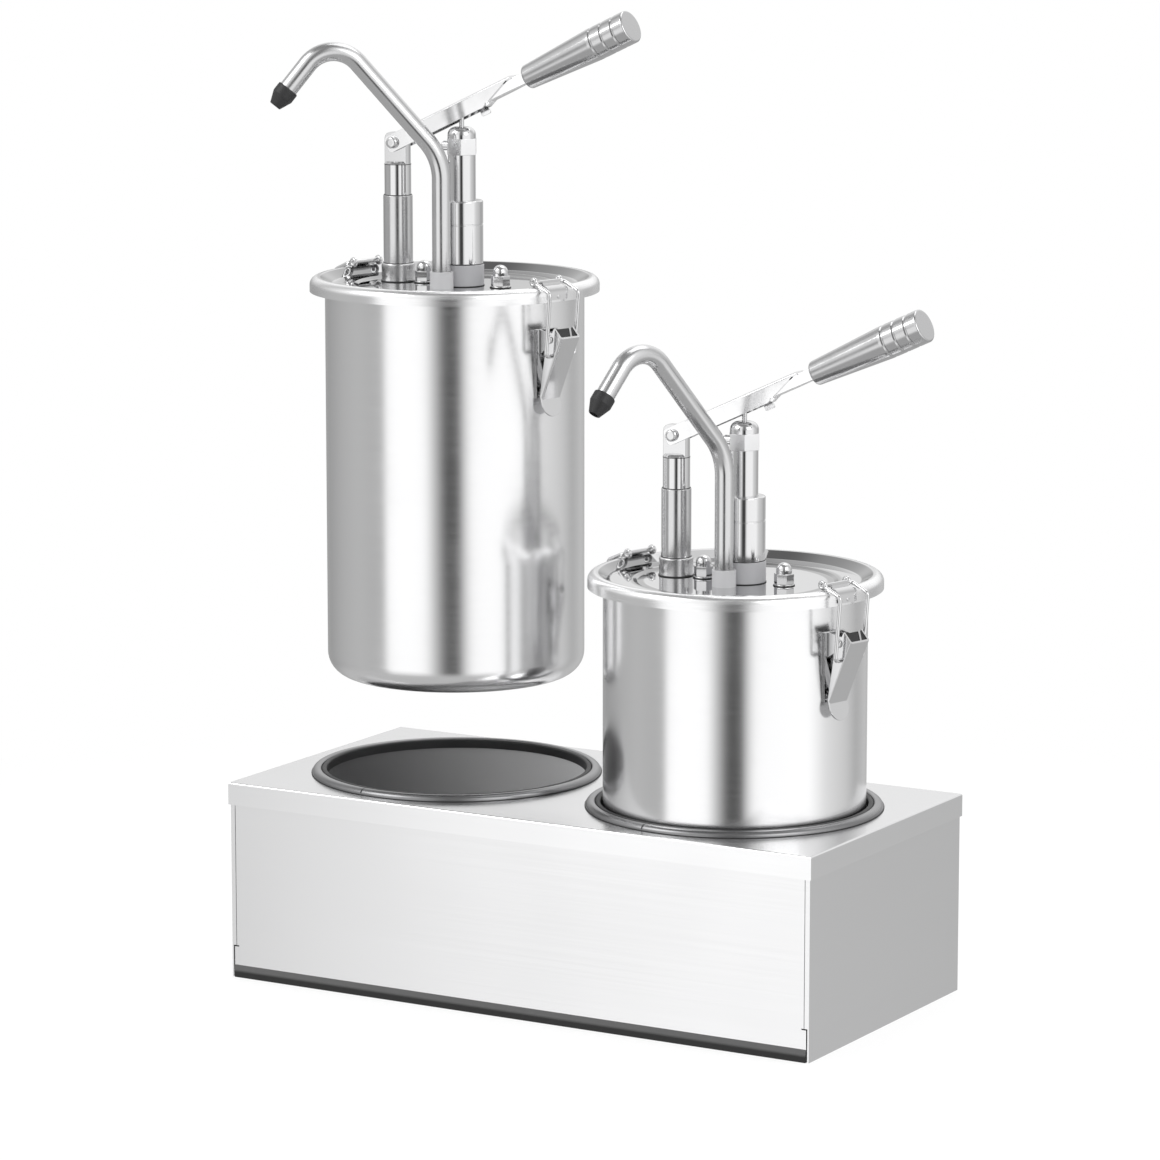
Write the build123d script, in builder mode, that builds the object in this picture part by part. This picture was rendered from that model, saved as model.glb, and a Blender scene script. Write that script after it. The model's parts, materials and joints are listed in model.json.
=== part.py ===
from build123d import *
import os
from math import atan2, cos, degrees, hypot, radians, sin, tan

# Twin sauce dispenser: two lidded steel jars with lever pumps, standing in a two-well counter base.
# Origin at the centre of the base's underside, +X along the base, +Z up, millimetres.
# The right jar is seated in its well and the left jar is lifted above its well.

os.makedirs("parts", exist_ok=True)

# Base housing
base_length = 408
base_depth = 200
base_height = 124
base_sheet = 1.0
cover_flange = 14
cover_edge_radius = 1.2
lap_gap = 0.1
relief_height = 20
relief_length = 4
relief_slot = 0.8
strip_height = 8
strip_wall = 1.2
tray_flange = 10

# Wells
well_spacing = 198
well_floor_height = 19
well_gap = 2
well_wall = 0.8
well_corner = 8
well_flange_width = 5.7
ring_height = 3.6
ring_radius = 90.6
ring_edge_radius = 1.6
gasket_height = 2.6
gasket_width = 1.9
hole_gap = 0.3

# Jars
jar_radius = 80
jar_wall = 0.8
jar_height = 245
jar_corner = 15
jar_rim_width = 7.9
jar_rim_drop = 3
jar_lift = 168
seat_gap = 0.1

# Lid
lid_radius = 89.4
lid_sheet = 0.8
lid_rim_rise = 4
lid_rim_width = 6.4
lid_edge_radius = 5
lid_skirt = 9
lid_slope_width = 7
lid_slope_drop = 4.4
lid_shelf_width = 14
lid_step_width = 2.5
lid_step_drop = 1.2
lid_bend_radius = 1.2
seal_width = 3.6
seal_gap = 0.1

# Places of the fittings on the lid, from the jar's axis
pump_x = 5.5
post_x = -41
spout_x = 3
spout_y = -20
nut_offset = 27.5

# Fits
running_gap = 0.05
fastener_gap = 0.05

# Fulcrum post
post_radius = 8.25
sleeve_wall = 0.8
sleeve_height = 53.5
collar_radius = 10.4
collar_height = 11.5
post_shoulder = 74.5
post_chamfer = 1.6
tongue_thickness = 7.4
tongue_corner = 4
pivot_height = 86.2
tongue_top = 6
post_stud_radius = 4
collar_edge_radius = 1

# Lever
lever_angle = 24.7
lever_length = 182.7
lever_height = 10.4
lever_width = 11
lever_sheet = 1.5
lever_web_start = 12
flange_to_grip = 9.2
flange_end_slant = 25
neck_thickness = 5
neck_height = 8.6
neck_lap = 7
tab_setback = 5
tab_length = 6.5
tab_drop = 3.4
pivot_bolt_radius = 2.5
bolt_head_radius = 4.2
bolt_head_height = 3.2
bolt_nut_across = 8
bolt_nut_height = 4
bolt_end_rise = 1

# Grip
grip_length = 79.5
grip_small_radius = 7.5
grip_radius = 10.25
grip_cone_length = 52
grip_edge_radius = 1.5
groove_pitch = 8.3
groove_count = 3
groove_width = 1.0
groove_depth = 0.5
tang_radius = 4
tang_length = 35

# Pump
pump_block_radius = 13.5
pump_block_height = 13.5
pump_block_chamfer = 0.6
pump_sleeve_radius = 13
pump_sleeve_top = 52.5
sleeve_groove_height = 37.5
sleeve_groove_depth = 0.4
sleeve_groove_width = 0.8
sleeve_edge_radius = 1
plunger_radius = 8.5
plunger_bore = 7
plunger_top = 80.5
plunger_depth = 90
cap_across = 17.6
cap_hex_height = 10
cap_height = 17
cap_dome_radius = 5
cap_spigot = 8
cap_screw_radius = 3
cap_screw_reach = 13.3
cap_screw_height = 5
cap_screw_edge = 1
rod_radius = 4
pin_radius = 1.5
pin_gap = 0.3
pin_tip_radius = 1.2
piston_height = 12
piston_groove_width = 2
piston_groove_depth = 1
cylinder_radius = 12
cylinder_bore = 10.5
riser_radius = 6
riser_bore = 4.75
body_flange_thickness = 2.5
body_flange_radius = 28
body_flange_length = 96
body_flange_x = -4
stud_radius = 2.95
stud_rise = 9
foot_radius = 13.5
foot_side_radius = 8
foot_height = 16
foot_channel_radius = 3
foot_channel_cover = 2
riser_sump = 1
valve_height = 20
valve_radius = 9
valve_bore = 5
intake_bore = 3
valve_spigot_radius = 7
valve_spigot_height = 6
valve_ball_radius = 4.4
intake_rise = 12
spring_wire_radius = 0.8
spring_radius = 8.4
spring_turns = 10

# Nuts on the lid
acorn_across = 10.7
acorn_hex_height = 6.2
acorn_height = 14
acorn_dome_radius = 4.8
acorn_washer_radius = 6.2
acorn_washer_height = 1.2
post_nut_across = 13
post_nut_height = 6.5

# Spout
spout_radius = 5.75
spout_wall = 1
outlet_radius = 7.25
outlet_height = 10
spout_corner_height = 80
spout_rise_angle = 49
spout_fall_angle = 51
spout_apex_reach = 66.3
spout_fall_length = 48
spout_low_bend = 36
spout_high_bend = 20
nozzle_radius = 6.75
nozzle_overlap = 5.5
nozzle_barrel = 6
nozzle_length = 13.5
nozzle_tip_radius = 3.6
nozzle_bore = 2.6
nozzle_edge_radius = 0.8
left_spout_azimuth = -140
right_spout_azimuth = -110

# Latches, in the plane through the jar's axis: r outwards, z above the jar's rim
latch_azimuth = -14.5
plate_width = 18
plate_thickness = 1.2
plate_low = -64
plate_high = -22
latch_width = 16.5
latch_sheet = 1.2
latch_pivot_r = 91
latch_pivot_z = -27.1
latch_pin_radius = 1.5
latch_pin_head = 2.6
latch_pin_head_height = 1
ear_radius = 3.8
ear_thickness = 1.2
ear_gap = 0.25
latch_top_outer = (101, -26.1)
latch_top_inner = (95, -20)
latch_back = (88, -32)
latch_low_inner = (82.6, -62.5)
latch_low_outer = (84, -64.5)
tab_angle = 16
tab_reach = 11.5
eye_r = 92.05
eye_z = -37.2
wire_radius = 1.25
wire_half_width = 12.2
wire_end = 6
wire_bend = 3
wire_eye_bend = 2.2
shoulder_r = 95.5
shoulder_z = 1.2
crossbar_r = 82
crossbar_gap = 0.3
catch_width = 18
catch_thickness = 1.2
catch_lip_gap = 0.35
catch_lip_height = 3.6
catch_inner_reach = 2.6
catch_skirt = 5

# Heights that follow from the sizes above, with the jar seated
jar_bottom = well_floor_height + seat_gap
jar_top = jar_bottom + jar_height
lid_top = jar_top + lid_rim_rise
lid_rim_inner = lid_radius - lid_rim_width
lid_shelf_outer = lid_rim_inner - lid_slope_width
lid_shelf_inner = lid_shelf_outer - lid_shelf_width
lid_centre_radius = lid_shelf_inner - lid_step_width
deck = lid_top - lid_slope_drop - lid_step_drop
deck_under = deck - lid_sheet
pivot_z = deck + pivot_height


def shell_of_revolution(points, radii, thickness, side):
    # A sheet of even thickness along a bent profile (r, z), turned about the jar's axis.
    with BuildPart() as shell:
        with BuildSketch(Plane.XZ):
            with BuildLine():
                FilletPolyline(*points, radius=radii)
                offset(amount=thickness, side=side)
            make_face()
        revolve(axis=Axis.Z)
    return shell.part


def hexagon(across):
    return RegularPolygon(radius=across / 2, side_count=6, major_radius=False)


# Base cover: a folded lid with two round openings
well_radius = jar_radius + well_gap
well_outer = well_radius + well_wall
with BuildPart() as base_cover:
    with BuildSketch(Plane.XY.offset(base_height - cover_flange)):
        Rectangle(base_length, base_depth)
    extrude(amount=cover_flange)
    fillet(base_cover.faces().sort_by(Axis.Z)[-1].edges(), radius=cover_edge_radius)
    with BuildSketch(Plane.XY.offset(base_height - cover_flange)):
        Rectangle(base_length - 2 * base_sheet, base_depth - 2 * base_sheet)
    extrude(amount=cover_flange - base_sheet, mode=Mode.SUBTRACT)
    with BuildSketch(Plane.XY.offset(base_height)):
        with Locations((-well_spacing / 2, 0), (well_spacing / 2, 0)):
            Circle(well_outer + hole_gap)
    extrude(amount=-2 * base_sheet, mode=Mode.SUBTRACT)

# Base body: four folded walls under the cover, with relief slits at the lower corners
body_length = base_length - 2 * (base_sheet + lap_gap)
body_depth = base_depth - 2 * (base_sheet + lap_gap)
body_top = base_height - base_sheet
with BuildPart() as base_body:
    with BuildSketch():
        Rectangle(body_length, body_depth)
        Rectangle(body_length - 2 * base_sheet, body_depth - 2 * base_sheet, mode=Mode.SUBTRACT)
    extrude(amount=body_top)
    with BuildSketch():
        Rectangle(body_length - 2 * base_sheet, body_depth)
    extrude(amount=strip_wall, mode=Mode.SUBTRACT)
    with BuildSketch(Plane.XZ.offset(body_depth / 2)):
        for end in (-1, 1):
            corner = end * (body_length / 2 - base_sheet)
            with Locations((corner - end * relief_slot / 2, relief_height / 2)):
                Rectangle(relief_slot, relief_height)
            with Locations((corner - end * relief_length / 2, relief_height)):
                Rectangle(relief_length, relief_slot)
    extrude(amount=-body_depth, mode=Mode.SUBTRACT)

# Bottom plate: a shallow tray between the walls, its underside at the origin's height
tray_length = body_length - 2 * (base_sheet + lap_gap)
tray_depth = body_depth - 2 * (base_sheet + strip_wall + 2 * lap_gap)
with BuildPart() as bottom_plate:
    with BuildSketch():
        Rectangle(tray_length, tray_depth)
    extrude(amount=tray_flange)
    with BuildSketch(Plane.XY.offset(base_sheet)):
        Rectangle(tray_length - 2 * base_sheet, tray_depth - 2 * base_sheet)
    extrude(amount=tray_flange, mode=Mode.SUBTRACT)

# Edge strips: rubber channels pressed on to the lower edges of the front and back walls
with BuildPart() as edge_strips:
    for end in (-1, 1):
        outer_y = body_depth / 2 + strip_wall
        inner_y = body_depth / 2 - base_sheet - lap_gap - strip_wall
        with BuildSketch(Plane.YZ.offset(-tray_length / 2 + relief_slot)):
            with Locations((end * (outer_y + inner_y) / 2, strip_height / 2)):
                Rectangle(outer_y - inner_y, strip_height)
            with Locations((end * (body_depth - base_sheet - lap_gap) / 2, strip_height / 2 + strip_wall)):
                Rectangle(base_sheet + lap_gap, strip_height, mode=Mode.SUBTRACT)
        extrude(amount=tray_length - 2 * relief_slot)

# Well liner: a drawn cup that hangs from the cover by its flange
well_flange_radius = well_outer + well_flange_width
well_liner = shell_of_revolution(
    [
        (0, well_floor_height),
        (well_radius, well_floor_height),
        (well_radius, base_height + well_wall),
        (well_flange_radius, base_height + well_wall),
    ],
    [well_corner, lap_gap],
    well_wall,
    Side.RIGHT,
)

# Trim ring: a raised steel collar over the liner's flange
ring_inner = well_outer + gasket_width
with BuildPart() as well_ring:
    with BuildSketch(Plane.XZ):
        with BuildLine():
            Polyline(
                (ring_radius, base_height),
                (ring_radius, base_height + ring_height),
                (ring_inner, base_height + ring_height),
                (ring_inner, base_height + well_wall + lap_gap),
                (well_flange_radius + lap_gap, base_height + well_wall + lap_gap),
                (well_flange_radius + lap_gap, base_height),
                close=True,
            )
        make_face()
    revolve(axis=Axis.Z)
    fillet(well_ring.faces().sort_by(Axis.Z)[-1].edges(), radius=ring_edge_radius)

# Gasket: a black bead round the well's mouth, inside the ring
gasket_outer = ring_inner - lap_gap
gasket_z = base_height + well_wall + gasket_height / 2
with BuildPart() as well_gasket:
    with BuildSketch(Plane.XZ):
        with Locations(((well_radius + gasket_outer) / 2, gasket_z)):
            RectangleRounded(gasket_outer - well_radius, gasket_height, radius=gasket_width / 4)
    revolve(axis=Axis.Z)

# Jar: a drawn can with a rolled-out rim
jar_container = shell_of_revolution(
    [
        (0, jar_bottom),
        (jar_radius, jar_bottom),
        (jar_radius, jar_top - jar_wall),
        (jar_radius + jar_rim_width - jar_wall, jar_top - jar_wall),
        (jar_radius + jar_rim_width - jar_wall, jar_top - jar_rim_drop),
    ],
    [jar_corner, jar_wall, jar_wall],
    jar_wall,
    Side.LEFT,
)

# Lid: a pressed disc with a rounded rim, a slope, a shelf and a sunk centre
with BuildPart() as lid:
    with BuildSketch(Plane.XZ):
        with BuildLine():
            FilletPolyline(
                (lid_radius, lid_top - lid_skirt),
                (lid_radius, lid_top),
                (lid_rim_inner, lid_top),
                (lid_shelf_outer, lid_top - lid_slope_drop),
                (lid_shelf_inner, lid_top - lid_slope_drop),
                (lid_centre_radius, deck),
                (0, deck),
                radius=[lid_edge_radius] + 4 * [lid_bend_radius],
            )
            offset(amount=lid_sheet, side=Side.LEFT)
        make_face()
    revolve(axis=Axis.Z)
    with BuildSketch(Plane.XY.offset(deck_under - lid_sheet)):
        with Locations((pump_x, 0)):
            Circle(plunger_radius + hole_gap)
        with Locations((spout_x, spout_y)):
            Circle(spout_radius + hole_gap)
        with Locations((pump_x - nut_offset, 0), (pump_x + nut_offset, 0)):
            Circle(stud_radius + hole_gap)
        with Locations((post_x, 0)):
            Circle(post_stud_radius + hole_gap)
    extrude(amount=3 * lid_sheet, mode=Mode.SUBTRACT)

# Lid seal: a soft ring between the jar's rim and the lid
seal_outer = lid_rim_inner + seal_width - seal_gap
seal_inner = lid_rim_inner - lid_sheet
with BuildPart() as lid_seal:
    with BuildSketch(Plane.XZ):
        with BuildLine():
            Polyline(
                (seal_inner, jar_top),
                (seal_outer, jar_top),
                (seal_outer - lid_sheet, lid_top - 2 * lid_sheet),
                (lid_rim_inner + lid_sheet, lid_top - lid_sheet - seal_gap),
                (lid_rim_inner + seal_gap, lid_top - lid_sheet - seal_gap),
                (seal_inner, lid_top - 2 * lid_sheet - seal_gap),
                close=True,
            )
        make_face()
    revolve(axis=Axis.Z)

# Post sleeve: a thin tube with a base collar round the post
sleeve_bore = post_radius + running_gap
with BuildPart() as post_sleeve:
    with BuildSketch(Plane.XY.offset(deck)):
        with Locations((post_x, 0)):
            Circle(collar_radius)
            Circle(sleeve_bore, mode=Mode.SUBTRACT)
    extrude(amount=collar_height)
    collar_edges = post_sleeve.edges().filter_by(GeomType.CIRCLE).group_by(Axis.Z)[-1]
    fillet(collar_edges.sort_by(SortBy.RADIUS)[-1], radius=collar_edge_radius)
    with BuildSketch(Plane.XY.offset(deck)):
        with Locations((post_x, 0)):
            Circle(sleeve_bore + sleeve_wall)
            Circle(sleeve_bore, mode=Mode.SUBTRACT)
    extrude(amount=sleeve_height)

# Post rod: a round bar with a flat tongue on top and a stud below
with BuildPart() as post_rod:
    with BuildSketch(Plane.XY.offset(deck)):
        with Locations((post_x, 0)):
            Circle(post_radius)
    extrude(amount=post_shoulder)
    chamfer(post_rod.edges().filter_by(GeomType.CIRCLE).sort_by(Axis.Z)[-1], length=post_chamfer)
    tongue_low = deck + post_shoulder - 2 * post_chamfer
    tongue_height = pivot_z + tongue_top - tongue_low
    with BuildSketch(Plane.XZ) as tongue:
        with Locations((post_x, tongue_low + tongue_height / 2)):
            Rectangle(2 * post_radius, tongue_height)
        fillet(tongue.vertices().group_by(Axis.Y)[-1], radius=tongue_corner)
    extrude(amount=tongue_thickness / 2, both=True)
    with BuildSketch(Plane.XY.offset(tongue_low)):
        with Locations((post_x, 0)):
            Circle(2 * post_radius)
            Circle(post_radius, mode=Mode.SUBTRACT)
    extrude(amount=2 * tongue_height, mode=Mode.SUBTRACT)
    with BuildSketch(Plane.XZ):
        with Locations((post_x, pivot_z)):
            Circle(pivot_bolt_radius + running_gap)
    extrude(amount=tongue_thickness, both=True, mode=Mode.SUBTRACT)
    with BuildSketch(Plane.XY.offset(deck)):
        with Locations((post_x, 0)):
            Circle(post_stud_radius)
    extrude(amount=-(lid_sheet + body_flange_thickness + post_nut_height))

# Pivot bolt and its nut, across the lever's flanges
half_lever = lever_width / 2
with BuildPart() as pivot_bolt:
    with BuildSketch(Plane.XZ.offset(half_lever + running_gap)):
        with Locations((post_x, pivot_z)):
            Circle(bolt_head_radius)
    extrude(amount=bolt_head_height)
    fillet(pivot_bolt.edges().filter_by(GeomType.CIRCLE).sort_by(Axis.Y)[0], radius=bolt_head_height / 2)
    with BuildSketch(Plane.XZ.offset(half_lever + running_gap)):
        with Locations((post_x, pivot_z)):
            Circle(pivot_bolt_radius)
    extrude(amount=-(lever_width + bolt_nut_height + bolt_end_rise))
    with BuildSketch(Plane.XZ.offset(-half_lever - running_gap)):
        with Locations((post_x, pivot_z)):
            hexagon(bolt_nut_across)
            Circle(pivot_bolt_radius + fastener_gap, mode=Mode.SUBTRACT)
    extrude(amount=-bolt_nut_height)

# Lever: a channel that opens downwards, with a flat neck into the grip
lever_plane = Plane(
    origin=(post_x, 0, pivot_z),
    x_dir=(cos(radians(lever_angle)), 0, sin(radians(lever_angle))),
    z_dir=(0, -1, 0),
)
half_height = lever_height / 2
grip_start = lever_length - grip_length
flange_end_high = grip_start - flange_to_grip
flange_end_low = flange_end_high - flange_end_slant
neck_start = flange_end_low - neck_lap
tab_centre = flange_end_low - tab_setback
with BuildPart() as lever_bar:
    with BuildSketch(lever_plane):
        Circle(half_height)
        with BuildLine():
            Polyline(
                (0, -half_height),
                (flange_end_low, -half_height),
                (flange_end_high, half_height),
                (0, half_height),
                close=True,
            )
        make_face()
    extrude(amount=half_lever, both=True)
    with BuildSketch(lever_plane):
        with Locations((flange_end_high / 2, -lever_sheet)):
            Rectangle(2 * flange_end_high, lever_height)
        with Locations((lever_web_start - lever_height, 0)):
            Rectangle(2 * lever_height, 2 * lever_height)
    extrude(amount=half_lever - lever_sheet, both=True, mode=Mode.SUBTRACT)
    with BuildSketch(lever_plane):
        with Locations(((neck_start + grip_start) / 2, half_height - neck_height / 2)):
            Rectangle(grip_start - neck_start, neck_height)
    extrude(amount=neck_thickness / 2, both=True)
    with BuildSketch(lever_plane.offset(-half_lever)):
        with Locations((tab_centre, -half_height + (lever_sheet - tab_drop) / 2)):
            Rectangle(tab_length, tab_drop + lever_sheet)
    extrude(amount=lever_sheet)
    with BuildSketch(lever_plane):
        Circle(pivot_bolt_radius + running_gap)
    extrude(amount=lever_width, both=True, mode=Mode.SUBTRACT)
    tang_plane = Plane(origin=lever_plane.origin, x_dir=(0, 1, 0), z_dir=lever_plane.x_dir)
    with BuildSketch(tang_plane.offset(grip_start - lever_sheet)):
        Circle(tang_radius)
    extrude(amount=tang_length + lever_sheet)

# Grip: a turned metal handle with three grooves near its end
with BuildPart() as lever_grip:
    with BuildSketch(lever_plane):
        with BuildLine():
            Polyline(
                (grip_start, 0),
                (grip_start, grip_small_radius),
                (grip_start + grip_cone_length, grip_radius),
                (lever_length, grip_radius),
                (lever_length, 0),
                close=True,
            )
        make_face()
        for groove in range(groove_count):
            with Locations((lever_length - (groove + 1) * groove_pitch, grip_radius)):
                Rectangle(groove_width, 2 * groove_depth, mode=Mode.SUBTRACT)
    revolve(axis=Axis(lever_plane.origin, lever_plane.x_dir))
    ends = lever_grip.faces().filter_by(GeomType.PLANE)
    small_end = ends.sort_by(Axis(lever_plane.origin, lever_plane.x_dir))[0]
    large_end = ends.sort_by(Axis(lever_plane.origin, lever_plane.x_dir))[-1]
    fillet(small_end.edges(), radius=grip_edge_radius)
    fillet(large_end.edges(), radius=grip_edge_radius / 2)
    with BuildSketch(tang_plane.offset(grip_start - lever_sheet)):
        Circle(tang_radius + fastener_gap)
    extrude(amount=tang_length + lever_sheet + fastener_gap, mode=Mode.SUBTRACT)

# Pump block: the grey foot that the plunger's sleeve stands on
with BuildPart() as pump_block:
    with BuildSketch(Plane.XY.offset(deck)):
        with Locations((pump_x, 0)):
            Circle(pump_block_radius)
            Circle(plunger_radius + hole_gap, mode=Mode.SUBTRACT)
    extrude(amount=pump_block_height)
    block_edges = pump_block.edges().filter_by(GeomType.CIRCLE).group_by(Axis.Z)[-1]
    chamfer(block_edges.sort_by(SortBy.RADIUS)[-1], length=pump_block_chamfer)

# Outlet block: the grey socket that the spout turns in
with BuildPart() as outlet_block:
    with BuildSketch(Plane.XY.offset(deck)):
        with Locations((spout_x, spout_y)):
            Circle(outlet_radius)
            Circle(spout_radius + running_gap, mode=Mode.SUBTRACT)
        with Locations((pump_x, 0)):
            Circle(pump_block_radius + lap_gap, mode=Mode.SUBTRACT)
    extrude(amount=outlet_height)

# Pump sleeve: the guide bush of the plunger
with BuildPart() as pump_sleeve:
    with BuildSketch(Plane.XY.offset(deck + pump_block_height)):
        with Locations((pump_x, 0)):
            Circle(pump_sleeve_radius)
            Circle(plunger_radius + running_gap, mode=Mode.SUBTRACT)
    extrude(amount=pump_sleeve_top - pump_block_height)
    sleeve_edges = pump_sleeve.edges().filter_by(GeomType.CIRCLE).group_by(Axis.Z)[-1]
    fillet(sleeve_edges.sort_by(SortBy.RADIUS)[-1], radius=sleeve_edge_radius)
    with BuildSketch(Plane.XY.offset(deck + sleeve_groove_height)):
        with Locations((pump_x, 0)):
            Circle(2 * pump_sleeve_radius)
            Circle(pump_sleeve_radius - sleeve_groove_depth, mode=Mode.SUBTRACT)
    extrude(amount=sleeve_groove_width, mode=Mode.SUBTRACT)

# Plunger tube: slides in the sleeve
plunger_low = deck - plunger_depth
with BuildPart() as plunger_tube:
    with BuildSketch(Plane.XY.offset(plunger_low)):
        with Locations((pump_x, 0)):
            Circle(plunger_radius)
            Circle(plunger_bore, mode=Mode.SUBTRACT)
    extrude(amount=plunger_depth + plunger_top)

# Cap nut: a hexagon under a dome, with a spigot inside the tube and a side screw
cap_low = deck + plunger_top
with BuildPart() as cap_nut:
    with BuildSketch(Plane.XY.offset(cap_low + cap_hex_height)):
        with Locations((pump_x, 0)):
            Circle(cap_across / 2)
    extrude(amount=cap_height - cap_hex_height)
    fillet(cap_nut.edges().filter_by(GeomType.CIRCLE).sort_by(Axis.Z)[-1], radius=cap_dome_radius)
    with BuildSketch(Plane.XY.offset(cap_low)):
        with Locations((pump_x, 0)):
            hexagon(cap_across)
    extrude(amount=cap_hex_height)
    with BuildSketch(Plane.XY.offset(cap_low)):
        with Locations((pump_x, 0)):
            Circle(plunger_bore - fastener_gap)
    extrude(amount=-cap_spigot)
    with BuildSketch(Plane.YZ.offset(pump_x - cap_screw_reach)):
        with Locations((0, cap_low + cap_screw_height)):
            Circle(cap_screw_radius)
    extrude(amount=cap_screw_reach)
    fillet(cap_nut.edges().filter_by(GeomType.CIRCLE).sort_by(Axis.X)[0], radius=cap_screw_edge)
    with BuildSketch(Plane.XY.offset(cap_low - cap_spigot)):
        with Locations((pump_x, 0)):
            Circle(rod_radius + fastener_gap)
    extrude(amount=cap_spigot + cap_hex_height, mode=Mode.SUBTRACT)
    with BuildSketch(Plane.XY.offset(cap_low)):
        with Locations((pump_x, 0)):
            Circle(pin_radius + fastener_gap)
    extrude(amount=2 * cap_height, mode=Mode.SUBTRACT)

# Piston rod: the piston in the cylinder, the rod in the tube and the pin under the lever's web
web_under = half_height - lever_sheet
pin_top_r = pump_x - post_x + pin_radius
pin_top = pivot_z + pin_top_r * tan(radians(lever_angle)) + web_under / cos(radians(lever_angle))
pin_top = pin_top - 2 * pin_radius * tan(radians(lever_angle)) - pin_gap
piston_low = plunger_low - piston_height
with BuildPart() as piston_rod:
    with BuildSketch(Plane.XY.offset(piston_low)):
        with Locations((pump_x, 0)):
            Circle(cylinder_bore - running_gap)
    extrude(amount=piston_height)
    with BuildSketch(Plane.XY.offset(piston_low)):
        with Locations((pump_x, 0)):
            Circle(rod_radius)
    extrude(amount=piston_height + plunger_depth + plunger_top + cap_hex_height - fastener_gap)
    with BuildSketch(Plane.XY.offset(cap_low)):
        with Locations((pump_x, 0)):
            Circle(pin_radius)
    extrude(amount=pin_top - cap_low)
    fillet(piston_rod.edges().filter_by(GeomType.CIRCLE).sort_by(Axis.Z)[-1], radius=pin_tip_radius)
    for level in (1, 2):
        with BuildSketch(Plane.XY.offset(piston_low + level * piston_height / 3 - piston_groove_width / 2)):
            with Locations((pump_x, 0)):
                Circle(cylinder_bore)
                Circle(cylinder_bore - piston_groove_depth, mode=Mode.SUBTRACT)
        extrude(amount=piston_groove_width, mode=Mode.SUBTRACT)

# Pump body: flange, studs, cylinder, riser and foot, welded into one piece
jar_floor = jar_bottom + jar_wall
foot_low = jar_floor + intake_rise + valve_height
foot_top = foot_low + foot_height
flange_low = deck_under - body_flange_thickness
riser_bearing = degrees(atan2(spout_y, spout_x - pump_x))
riser_distance = hypot(spout_x - pump_x, spout_y)
channel_plane = Plane(
    origin=(pump_x, 0, foot_top - foot_channel_cover - foot_channel_radius),
    x_dir=(0, 0, 1),
    z_dir=(cos(radians(riser_bearing)), sin(radians(riser_bearing)), 0),
)
with BuildPart() as pump_body:
    with BuildSketch(Plane.XY.offset(flange_low)):
        with Locations((body_flange_x, 0)):
            SlotOverall(body_flange_length, 2 * body_flange_radius)
    extrude(amount=body_flange_thickness)
    with BuildSketch(Plane.XY.offset(foot_low)):
        with Locations((pump_x, 0)):
            Circle(foot_radius)
        with Locations((spout_x, spout_y)):
            Circle(foot_side_radius)
        make_hull()
    extrude(amount=foot_height)
    with BuildSketch(Plane.XY.offset(foot_top)):
        with Locations((pump_x, 0)):
            Circle(cylinder_radius)
        with Locations((spout_x, spout_y)):
            Circle(riser_radius)
    extrude(amount=flange_low - foot_top)
    with BuildSketch(Plane.XY.offset(deck_under)):
        with Locations((pump_x - nut_offset, 0), (pump_x + nut_offset, 0)):
            Circle(stud_radius)
    extrude(amount=lid_sheet + stud_rise)
    with BuildSketch(Plane.XY.offset(foot_low + valve_spigot_height)):
        with Locations((pump_x, 0)):
            Circle(cylinder_bore)
    extrude(amount=deck, mode=Mode.SUBTRACT)
    with BuildSketch(Plane.XY.offset(foot_top - foot_channel_cover - 2 * foot_channel_radius - riser_sump)):
        with Locations((spout_x, spout_y)):
            Circle(riser_bore)
    extrude(amount=deck, mode=Mode.SUBTRACT)
    with BuildSketch(Plane.XY.offset(foot_low)):
        with Locations((pump_x, 0)):
            Circle(valve_spigot_radius + fastener_gap)
    extrude(amount=foot_height, mode=Mode.SUBTRACT)
    with BuildSketch(channel_plane):
        Circle(foot_channel_radius)
    extrude(amount=riser_distance, mode=Mode.SUBTRACT)
    with BuildSketch(Plane.XY.offset(flange_low)):
        with Locations((post_x, 0)):
            Circle(post_stud_radius + fastener_gap)
    extrude(amount=body_flange_thickness, mode=Mode.SUBTRACT)

# Foot valve: the intake nipple with its ball
valve_low = foot_low - valve_height
ball_seat = valve_low + valve_height / 2
with BuildPart() as foot_valve:
    with BuildSketch(Plane.XY.offset(valve_low)):
        with Locations((pump_x, 0)):
            Circle(valve_radius)
    extrude(amount=valve_height - fastener_gap)
    with BuildSketch(Plane.XY.offset(foot_low - fastener_gap)):
        with Locations((pump_x, 0)):
            Circle(valve_spigot_radius)
    extrude(amount=valve_spigot_height)
    with BuildSketch(Plane.XY.offset(ball_seat)):
        with Locations((pump_x, 0)):
            Circle(valve_bore)
    extrude(amount=valve_height, mode=Mode.SUBTRACT)
    with BuildSketch(Plane.XY.offset(valve_low)):
        with Locations((pump_x, 0)):
            Circle(intake_bore)
    extrude(amount=valve_height, mode=Mode.SUBTRACT)
    with Locations((pump_x, 0, ball_seat + valve_ball_radius + running_gap)):
        Sphere(valve_ball_radius)

# Return spring: a coil between the foot and the piston
spring_low = foot_low + valve_spigot_height + spring_wire_radius + running_gap
spring_height = piston_low - spring_wire_radius - running_gap - spring_low
with BuildPart() as return_spring:
    with BuildLine(Plane.XY.offset(spring_low)) as coil:
        Helix(pitch=spring_height / spring_turns, height=spring_height, radius=spring_radius)
    with BuildSketch(Plane(origin=coil.line @ 0, z_dir=coil.line % 0)):
        Circle(spring_wire_radius)
    sweep(path=coil.line, is_frenet=True)
spring_at_pump = return_spring.part.moved(Location((pump_x, 0, 0)))

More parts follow.
